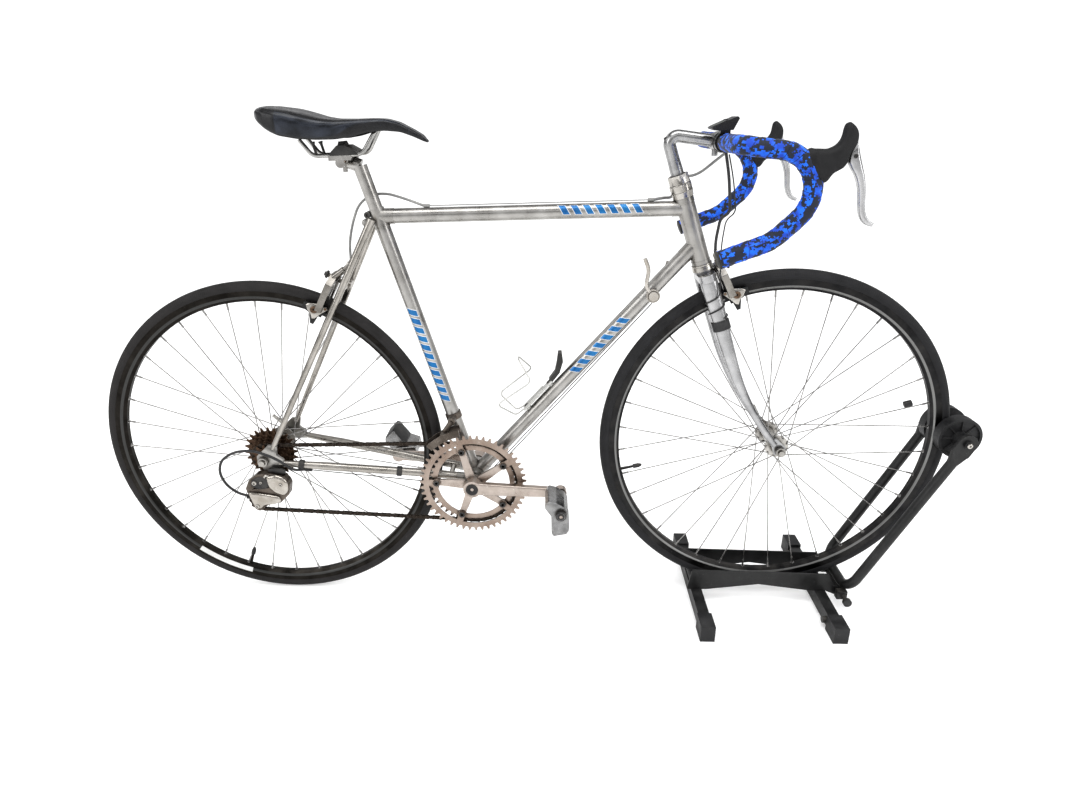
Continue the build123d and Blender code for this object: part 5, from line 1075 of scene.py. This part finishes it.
chain_wheels = [
    (np.array((shell[0], shell[2])), chain_pitch / (2 * math.sin(math.pi / ring_teeth)), 1),
    (np.array((0, axle_high)), chain_pitch / (2 * math.sin(math.pi / sprocket_teeth)), 1),
    (np.array(pulleys[0]), pulley_radius, -1),
    (np.array(pulleys[1]), pulley_radius, 1),
]
planes = (ring_plane, sprocket_plane, sprocket_plane, sprocket_plane)
runs = [belt(chain_wheels[i], chain_wheels[(i + 1) % 4]) for i in range(4)]
route = []
for index, (centre, radius, way) in enumerate(chain_wheels):
    start, end = runs[index]
    from_turn, to_turn = (math.atan2(*(spot - centre)[::-1]) for spot in (runs[index - 1][1], start))
    swing = way * ((way * (to_turn - from_turn)) % (2 * math.pi))
    turn = from_turn + np.linspace(0, swing, max(8, int(abs(swing) * radius / 2)))
    x, z = centre[0] + radius * np.cos(turn), centre[1] + radius * np.sin(turn)
    route.append(np.stack((x, planes[index] + 0 * turn, z), -1))
    ahead = unit(end - start)
    stops = {
        0: [(start + 45 * ahead, ring_plane), (end - 30 * ahead, sprocket_plane)],
        3: [(end - 45 * ahead, ring_plane)],
    }
    route += [np.array([[spot[0], plane, spot[1]]]) for spot, plane in stops.get(index, [])]
route = np.concatenate(route + [route[0][:1]])
distance = run_along(route)
link_count = 2 * round(distance[-1] / chain_pitch / 2)
pins = read_along(route, distance, np.linspace(0, distance[-1], link_count + 1))
mid, along = (pins[:-1] + pins[1:]) / 2, unit(np.diff(pins, axis=0))
side_way = unit(leftward - along * along[:, 1:2])
up_way = np.cross(side_way, along)
half_pitch = distance[-1] / link_count / 2
bow, bulge = np.cos(circle(18)), np.sin(circle(18))
plate_x = half_pitch * np.sign(bow) * np.minimum(1, np.abs(bow) * 2.2) + 4 * bow
plate_z = 4.05 * bulge * (0.62 + 0.38 * np.minimum(1, np.abs(bow) * 1.7) ** 2)


def link_plates(first, side, thickness):
    """Waisted plates for every second link at one sideways place, each a closed outline with a thickness."""
    ahead, up, across, centre = (way[first::2, None, None] for way in (along, up_way, side_way, mid))
    offset = side + thickness / 2 * np.array((-1, 1))[None, :, None, None]
    outline = plate_x[None, None, :, None] * ahead + plate_z[None, None, :, None] * up
    return tipped(centre + outline + offset * across)


def across_chain(spots, *outline):
    """Round pieces across the chain at the chosen pins, from rings of (radius, sideways place)."""
    rings = np.stack([radius * toward(circle(10)) + side * leftward for radius, side in outline])
    return tipped(spots[:, None, None] + rings[None])


link_grids = [link_plates(0, side * 2.85, 0.9) for side, label in sides]
link_grids += [link_plates(1, side * 2.05, 0.65) for side, label in sides]
off_circle = [abs(np.linalg.norm(pins[:-1, ::2] - centre, axis=1) - radius) for centre, radius, way in chain_wheels]
held = np.min(off_circle, axis=0) < 8
free_pins, held_pins = pins[:-1][~held], pins[:-1][held]
link_grids.append(across_chain(free_pins, (1.4, -3.6), (1.8, -3.3), (1.8, 3.3), (1.4, 3.6)))
link_grids.append(across_chain(free_pins, (3.6, -1.6), (3.6, 1.6)))
link_grids += [across_chain(held_pins, (1.8, 2.45 * s), (1.8, 3.3 * s), (1.4, 3.6 * s)) for s, label in sides]
build("chain_links", "frame", chain_steel, link_grids, ("chain",), crease=30)

# ---- freewheel and derailleurs ----
# Browned steel sprockets, a short-cage rear derailleur with a rounded alloy body,
# black joints and toothed pulleys, and a front cage on a seat-tube band.
finish(
    "sprocket_brown", (0.03, 0.018, 0.011), (0.14, 0.085, 0.055), (0.35, 0.6), metal=0.8, scale=2,
    relief=0.3, worn=1, worn_tone=(0.38, 0.28, 0.2), dusty=0.6, dust_tone=(0.06, 0.04, 0.025), on="freewheel",
)
gear_silver = alloy(
    "gear_silver", (0.32, 0.29, 0.25), (0.66, 0.63, 0.59), (0.1, 0.26), relief=0.08, worn=0.9,
    grime=1, dusty=0.35, dust_tone=(0.12, 0.09, 0.06), scratched=0.8,
)
alloy(
    "front_gear_metal", (0.06, 0.05, 0.042), (0.22, 0.19, 0.165), (0.2, 0.4), worn=1,
    worn_tone=(0.5, 0.46, 0.42), dusty=0.3, dust_tone=(0.06, 0.045, 0.035), grime=1,
    on="rear_derailleur front_derailleur",
)
gear_face = -69.1


def rounded_body(outline, near, far, dome):
    """A domed body over an outline about the rear axle, from near to far off the gears' face.

    The outline's corners are averaged away, and its rows draw in as they rise, by a quarter-circle law."""
    corners = np.array(outline + outline[:1], float) + (0, axle_high)
    run = run_along(corners)
    at = np.linspace(0, run[-1], 64, endpoint=False)
    spread = run[-1] / len(outline) * 0.3
    shifts = np.linspace(-spread, spread, 11)
    line = np.mean([read_along(corners, run, (at + shift) % run[-1]) for shift in shifts], axis=0)
    rows = [(gear_face - near, 0.96)]
    for a in np.linspace(0, math.pi / 2, 9):
        lift = gear_face - far + (far - near) * (1 - math.sin(a)) * 0.55
        rows.append((lift, 1 - dome * (1 - math.cos(a))))
    return np.stack([at_side(shrunk(line, share), y) for y, share in rows])


front_shell = [(6, -24), (24, -20), (40, -26), (48, -38), (46, -56), (36, -66), (20, -60), (8, -46)]
lower_shell = [
    (-34, -56), (-14, -58), (8, -62), (26, -66), (30, -78), (14, -84), (-4, -84), (-14, -94), (-24, -90), (-28, -78)
]
upper_knob = [(-22, -30), (-8, -24), (8, -26), (14, -38), (6, -50), (-12, -52), (-26, -44)]
hanger = [(8, -10), (42, -12), (44, -24), (10, -26)]
shells = [rounded_body(front_shell, 12, 21.5, 0.34), rounded_body(lower_shell, 13, 22.5, 0.3)]
joints = [rounded_body(upper_knob, 13, 19.5, 0.25), rounded_body(hanger, 6, 12, 0.2)]
build("derailleur_shells", "frame", gear_silver, shells, crease=45)
build("derailleur_joint", "frame", dark_steel, joints, crease=45)
gear_bolts = []
bolt_spots = ((-17, -37, 4.6, 19.5), (8, -27, 6.5, 16.5), (34, -40, 3, 21), (-18, -86, 4.2, 22), (-4, -36, 2.6, 19.5))
for x, z, radius, y in bolt_spots:
    head = radius * np.array((0.2, 1, 1, 0.82, 0.5, 0.45, 0.1))
    foot = placed(x, gear_face - y, axle_high + z)
    gear_bolts.append(knob(foot, -leftward, head, (-2, -1, 1.4, 2.2, 2.2, 0.8, 0.8), 20))
build("derailleur_bolts", "frame", race_silver, gear_bolts, crease=30)
boot_path = np.array([(-20, gear_face - 10, axle_high - 71.5), (-41, gear_face - 9.6, axle_high - 70.6)])
boot_path, boot_run = spaced(boot_path, 0.5)
boot_reach = 4.6 + 0.7 * np.sin(boot_run * 2 * math.pi / 3)
boot_reach[[0, -1]] = 2.8
boot = tipped(piped(boot_path, boot_reach[:, None], 20, (0, 0, 1)))
build("derailleur_boot", "frame", cap_plastic, boot, crease=50)
tooth_reach = 16.4 + 1.9 * np.clip(np.cos(10 * circle(80)) * 1.6, -1, 1)
tooth_line = tooth_reach[:, None] * toward(circle(80))
pulley_rows = ((-1.6, 0.9), (-1.1, 1), (1.1, 1), (1.6, 0.9))
toothed = [
    tipped([np.array((x, sprocket_plane + y, z)) + share * tooth_line for y, share in pulley_rows])
    for x, z in pulleys
]
build("pulley_teeth", "frame", cap_plastic, toothed, crease=30)

# ---- pedals ----
# Silver clip-in pedals with black edge plates, and a dark ring and a dark centre
# at the spindle's end.
alloy(
    "pedal_silver", 0.1, 0.42, (0.14, 0.34), relief=0.14, worn=0.9, dusty=0.25, scratched=1, grime=1,
    on="pedal_right pedal_left",
)
crank_long, pedal_inner, pedal_end = 170, 92, 160.2
edge_line = np.array(
    [
        (-17.6, -6), (-17.6, -40), (-14.5, -46), (9, -42), (14.6, -34), (14.6, -22),
        (10.5, -20), (9.5, -33), (6, -37.5), (-11.5, -40.5), (-13, -36), (-13, -6),
    ]
)
pedal_eye = ((6, 6.6, 6.2, 3.5, 3, 1), (0, 0.4, 1.4, 1.8, 0.8, 0.8))
pedal_ring = ((6.8, 8.8, 9.4, 8.8, 6.8), (-1, -0.2, -1.2, -2.2, -2.2))
for (side, label), crank_turn, pedal_turn in zip(sides, (-2.1, 177.9), (0, -144.5)):
    body, turn = "pedal_" + label, math.radians(pedal_turn)
    eye = shell + crank_long * toward(math.radians(crank_turn))
    rows = []
    for y, share in ((4, 0.97), (5, 1), (55, 1), (56, 0.97)):
        x, z = shrunk(edge_line, share).T[..., None]
        line = eye + x * toward(turn) + z * toward(turn + math.pi / 2)
        rows.append(tipped(line + side * (pedal_inner + y) * leftward))
    build("pedal_edge_" + label, body, cap_plastic, np.stack(rows))
    centre = tipped(eye + side * pedal_end * leftward)
    dark_eye = knob(centre - side * 0.0012 * leftward, side * leftward, *pedal_eye, 28)
    build("pedal_eye_" + label, body, dark_steel, dark_eye, crease=30)
    build("pedal_ring_" + label, body, dark_steel, turned_round(centre, side * leftward, *pedal_ring, 32), crease=60)

# ---- brakes ----
# Polished side-pull calipers on dark centre bolts, with knurled cable adjusters,
# return springs, three-cornered silver shoe holders and black blocks.
alloy(
    "brake_silver", (0.16, 0.15, 0.135), (0.44, 0.42, 0.39), (0.16, 0.34), worn=1,
    worn_tone=(0.7, 0.68, 0.64), dusty=0.3, dust_tone=(0.1, 0.08, 0.06), scratched=0.8, grime=1.3,
    on="front_brake rear_brake",
)
finish(
    "pad_rubber", 0.008, 0.02, (0.5, 0.7), relief=0.3, dusty=0.3, dust_tone=0.12,
    on="front_brake_pads rear_brake_pads",
)
pad_reach, holder_side = 308.5, 24.2
rear_hub_place = np.array((0, 0, axle_high))
stay_top, stay_end = np.array((245.1, 0, 774)), np.array((20, 0, 358))
crown_bolt, bridge_bolt = on_steerer(356.5), stay_top + (stay_end - stay_top) * 0.28
crown_way, bridge_way = unit(crown_bolt - front_hub_place), unit(bridge_bolt - rear_hub_place)
front_ahead = np.array((crown_way[2], 0, -crown_way[0]))
rear_back = np.array((-bridge_way[2], 0, bridge_way[0]))
brakes = (
    ("front", "front_end", front_hub_place, crown_bolt + 28 * front_ahead, front_ahead, (-16, 30, 0)),
    ("rear", "frame", rear_hub_place, bridge_bolt + 24 * rear_back, rear_back, (-11, 41, -19)),
)
holder_line = np.array(
    [
        (-25, 10), (-21, 13.5), (-15, 12), (-4, 13), (10, 9.5), (15, 4),
        (9, -4.5), (2, -9), (-3, -17), (-8, -15), (-13, -6), (-19, 3),
    ]
)
shoe_bolt = ((6.2, 6.6, 6.4, 5, 4.6, 2.2, 1.8), (-1, 0.6, 2, 2.6, 1.2, 1.2, 0.2))
ear_bolt = ((1.6, 2.4, 2.2, 1), (-0.8, 0.4, 1, 1))
pivot_nut = ((7, 7.8, 7.8, 7, 4.5, 4.2, 2, 1), (0, 0.4, 3.5, 4.2, 4.2, 6.8, 7.4, 7.4))
adjuster = ((-6, 4), (-5.5, 5.2), (-5, 5.6), (1.5, 5.6), (2, 5.2), (2.5, 3.4), (7, 3.2), (7.5, 2.6))
spring_line = ((4, 5), (1, 24), (-26, 29), (-32, 26))
knurl_turn = circle(48)[:, None]
for end, body, axle, pivot, ahead, (anchor_side, anchor_up, anchor_back) in brakes:
    out = unit(pivot - axle)
    forward = np.array((out[2], 0, -out[0])) * (1 if end == "front" else -1)
    foot = axle + out * pad_reach + forward * 13
    holders, bolts, springs = [], [], []
    for side, label in sides:
        away = side * leftward
        face = foot + holder_side * away
        rows = []
        for lift, share in ((0, 1), (2, 1), (2.8, 0.93)):
            line = shrunk(holder_line, share)
            rows.append(tipped(face + line[:, :1] * forward + line[:, 1:] * out + lift * away))
        holders.append(np.stack(rows))
        bolts.append(knob(tipped(face - 1.5 * forward + 1 * out + 2.6 * away), away, *shoe_bolt, 24))
        bolts.append(knob(tipped(face - 20.5 * forward + 9.8 * out + 2.4 * away), away, *ear_bolt, 14))
        corners = [pivot - 8.5 * ahead + out * up + away * across for up, across in spring_line]
        path = spaced(rounded(corners, (5, 4)), 1.2)[0]
        springs.append(tipped(piped(path, 0.9, 8, out)))
    build(end + "_shoe_holders", body, race_silver, holders)
    build(end + "_shoe_bolts", body, bolt_metal, bolts, crease=30)
    pivot_way = tipped_way(ahead)
    nut = knob(tipped(pivot) + pivot_way * 0.0125, pivot_way, *pivot_nut, 6)
    build(end + "_pivot_nut", body, dark_steel, nut, crease=25)
    anchor = tipped(pivot + out * anchor_up + ahead * anchor_back + anchor_side * leftward)
    pull = tipped_way(out + 0.1 * leftward)
    first = unit(np.cross(pull, leftward))
    round_it = np.cos(knurl_turn) * first + np.sin(knurl_turn) * np.cross(pull, first)
    knurls = 1 + 0.05 * np.cos(16 * knurl_turn)
    rows = [anchor + (pull * at + reach * round_it * (knurls if reach > 5.5 else 1)) / 1000 for at, reach in adjuster]
    build(end + "_cable_adjuster", body, race_silver, np.stack(rows), crease=30)
    build(end + "_brake_spring", body, spoke_steel, springs)

# ---- cables ----
# Black and grey housings with their inner wires, and the computer's thin wire. The
# rear brake's housing bends at the steering axis, so that part is one tube that
# follows the bar at one end and the frame at the other.
finish(
    "cable_housing", (0.012, 0.012, 0.013), (0.035, 0.035, 0.036), (0.32, 0.5),
    scale=2, relief=0.12, dusty=0.25, dust_tone=(0.16, 0.15, 0.14),
    on="front_brake_cable shift_cables computer_wire",
)
grey_housing = finish(
    "grey_housing", 0.16, (0.3, 0.3, 0.29), (0.3, 0.45), scale=2, relief=0.12, dusty=0.2, on="rear_brake_cable"
)
dress(gear_silver, "shift_levers")
beside_head = [on_steerer(531.6, 8, 42), on_steerer(505.5, -2, 36)]
link_path = tipped([(870, 30, 873), (850, 34, 858), (812, 40, 826), *beside_head])
curve = bpy.data.curves.new("housing_line", "CURVE")
curve.dimensions = "3D"
curve.resolution_u = 16
spline = curve.splines.new("NURBS")
spline.points.add(len(link_path) - 1)
for point, corner in zip(spline.points, link_path):
    point.co = (*corner, 1)
spline.order_u = 3
spline.use_endpoint_u = True
guide = put("housing_line", curve)
bpy.context.view_layer.update()
line_mesh = bpy.data.meshes.new_from_object(guide)
line = np.zeros(3 * len(line_mesh.vertices))
line_mesh.vertices.foreach_get("co", line)
bpy.data.objects.remove(guide)
tube = piped(spaced(line.reshape(-1, 3), 0.002)[0], 0.0024, 16, (0, 1, 0))
rear_link = build("rear_brake_housing", None, grey_housing, tube)
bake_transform(rear_link)

# ---- bottle cage, computer and small fittings ----
# A grey-white bent wire cage with a black tab, a black wedge computer with a
# grey display, and black moulded clips round the chain stays.
finish(
    "cage_wire", (0.42, 0.42, 0.4), (0.66, 0.66, 0.64), (0.25, 0.42), metal=0.6, worn=0.6, dusty=0.35,
    on="bottle_cage",
)
tab_black = finish("tab_plastic", 0.008, 0.022, (0.35, 0.55), relief=0.2, worn=0.3, worn_tone=0.08, dusty=0.25)
gloss_black = finish(
    "gloss_black", (0.006, 0.006, 0.007), (0.016, 0.016, 0.018), (0.18, 0.34),
    relief=0.08, dusty=0.2, dust_tone=0.15, scratched=0.2, worn=0.2, worn_tone=0.06, on="cycle_computer",
)
screen = finish(
    "display", (0.1, 0.115, 0.1), (0.14, 0.155, 0.135), (0.06, 0.12),
    relief=0.01, dusty=0.1, scratched=0.1, Coat_Weight=0.6, Coat_Roughness=0.05,
)
cage_above = np.array((-down_rise, 0, down_run))
tab_line = [
    (250, 16.6), (250, 24.5), (268.5, 26.6), (285.5, 36.6), (301.6, 47.8), (306.6, 42.9), (294.4, 28.7), (274.2, 18.7)
]
tab_outline = np.array([on_down_tube(height) + above * cage_above for height, above in tab_line])[:, ::2]
build("cage_tab", "frame", tab_black, plate(tab_outline, 17, 0.7), crease=35)
cage_bolt = ((4, 4.4, 4.2, 2.2, 1.9, 0.4), (0, 0.4, 2.4, 2.8, 1.2, 1.2))
bolt_places = [tipped(on_down_tube(height) + 20 * cage_above) for height in (180, 244)]
cage_bolts = [knob(foot, tipped_way(cage_above), *cage_bolt, 20) for foot in bolt_places]
build("cage_bolts", "frame", dark_steel, cage_bolts, crease=30)
deck_back, deck_front = np.array((812.96, -32, 906.65)), np.array((854.96, -32, 923.65))
deck = unit(deck_front - deck_back)
deck_up = np.array((-deck[2], 0, deck[0]))


def deck_pad(back, front, half, low, high, corner):
    """A rounded low pad on the computer's sloping top: rows are its outline at three heights."""
    bend_along, bend_across = (bend[:, None] for bend in superellipse(circle(40), corner))
    middle, reach = (back + front) / 2, (front - back) / 2
    rows = []
    for above, share in ((low, 1), (high - 0.3, 1), (high, 0.97)):
        outline = (middle + reach * share * bend_along) * deck + half * share * bend_across * leftward
        rows.append(tipped(deck_back + outline + above * deck_up))
    return np.stack(rows)


build("computer_rim", "front_end", gloss_black, deck_pad(3, 33, 16.5, -0.5, 1, 0.35), crease=35)
build("computer_display", "front_end", screen, deck_pad(5.5, 26, 13.5, 0.4, 1.25, 0.25), crease=35)
build("computer_buttons", "front_end", hood_rubber, deck_pad(28, 31.5, 12, 0.4, 1.7, 0.5), crease=35)
waist, stay_tip = np.array((320.58, -25, 279.5)), np.array((28, -66, 328))
clips = [
    knob(
        tipped(waist + (stay_tip - waist) * share), tipped_way(stay_tip - waist),
        radius + np.array((0, 1.2, 1.4, 1.2, 0)), (-5, -4.5, 0, 4.5, 5), 28,
    )
    for share, radius in ((0.24, 8.6), (0.86, 8.028))
]
build("stay_clips", "frame", cap_plastic, clips)

# ---- stand ----
# A display stand of black painted steel: two square feet with moulded end caps,
# a cradle of curved plates, a bent arm on a hinge and dished ribbed grips.
finish(
    "stand_paint", 0.006, 0.018, (0.3, 0.48), relief=0.3, worn=0.5, worn_tone=0.1, dusty=0.35, dust_tone=0.1,
    on="stand_feet stand_cradle stand_arms",
)
stand_plastic = finish(
    "stand_plastic", (0.006, 0.006, 0.007), (0.016, 0.016, 0.017), (0.38, 0.6),
    relief=0.4, worn=0.3, worn_tone=0.07, dusty=0.4, dust_tone=0.11, on="stand_end_caps stand_grips",
)
dress(black_paint, "stand_hinge")
grip_centre = middle_of(*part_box("stand_grips"))
grip_screw = ((4.2, 5, 5, 4, 2, 1.7), (-0.6, 0.2, 1.4, 2.2, 2.2, 0.8))
ribs, screws = [], []
for side, label in sides:
    for turn in circle(8):
        rows = []
        for reach, tall in ((13.5, 4), (34.5, 1.8)):
            section = ((-1.1, -0.8), (-0.9, tall), (0.9, tall), (1.1, -0.8))
            rows.append([
                reach * toward(turn) + a * toward(turn + math.pi / 2) + side * (34 + b) * leftward for a, b in section
            ])
        ribs.append(grip_centre + np.array(rows) / 1000)
    screws.append(knob(grip_centre + side * 0.0692 * leftward, side * leftward, *grip_screw, 22))
build("grip_ribs", "front_end", stand_plastic, ribs, crease=30)
build("grip_screws", "front_end", race_silver, screws, crease=30)
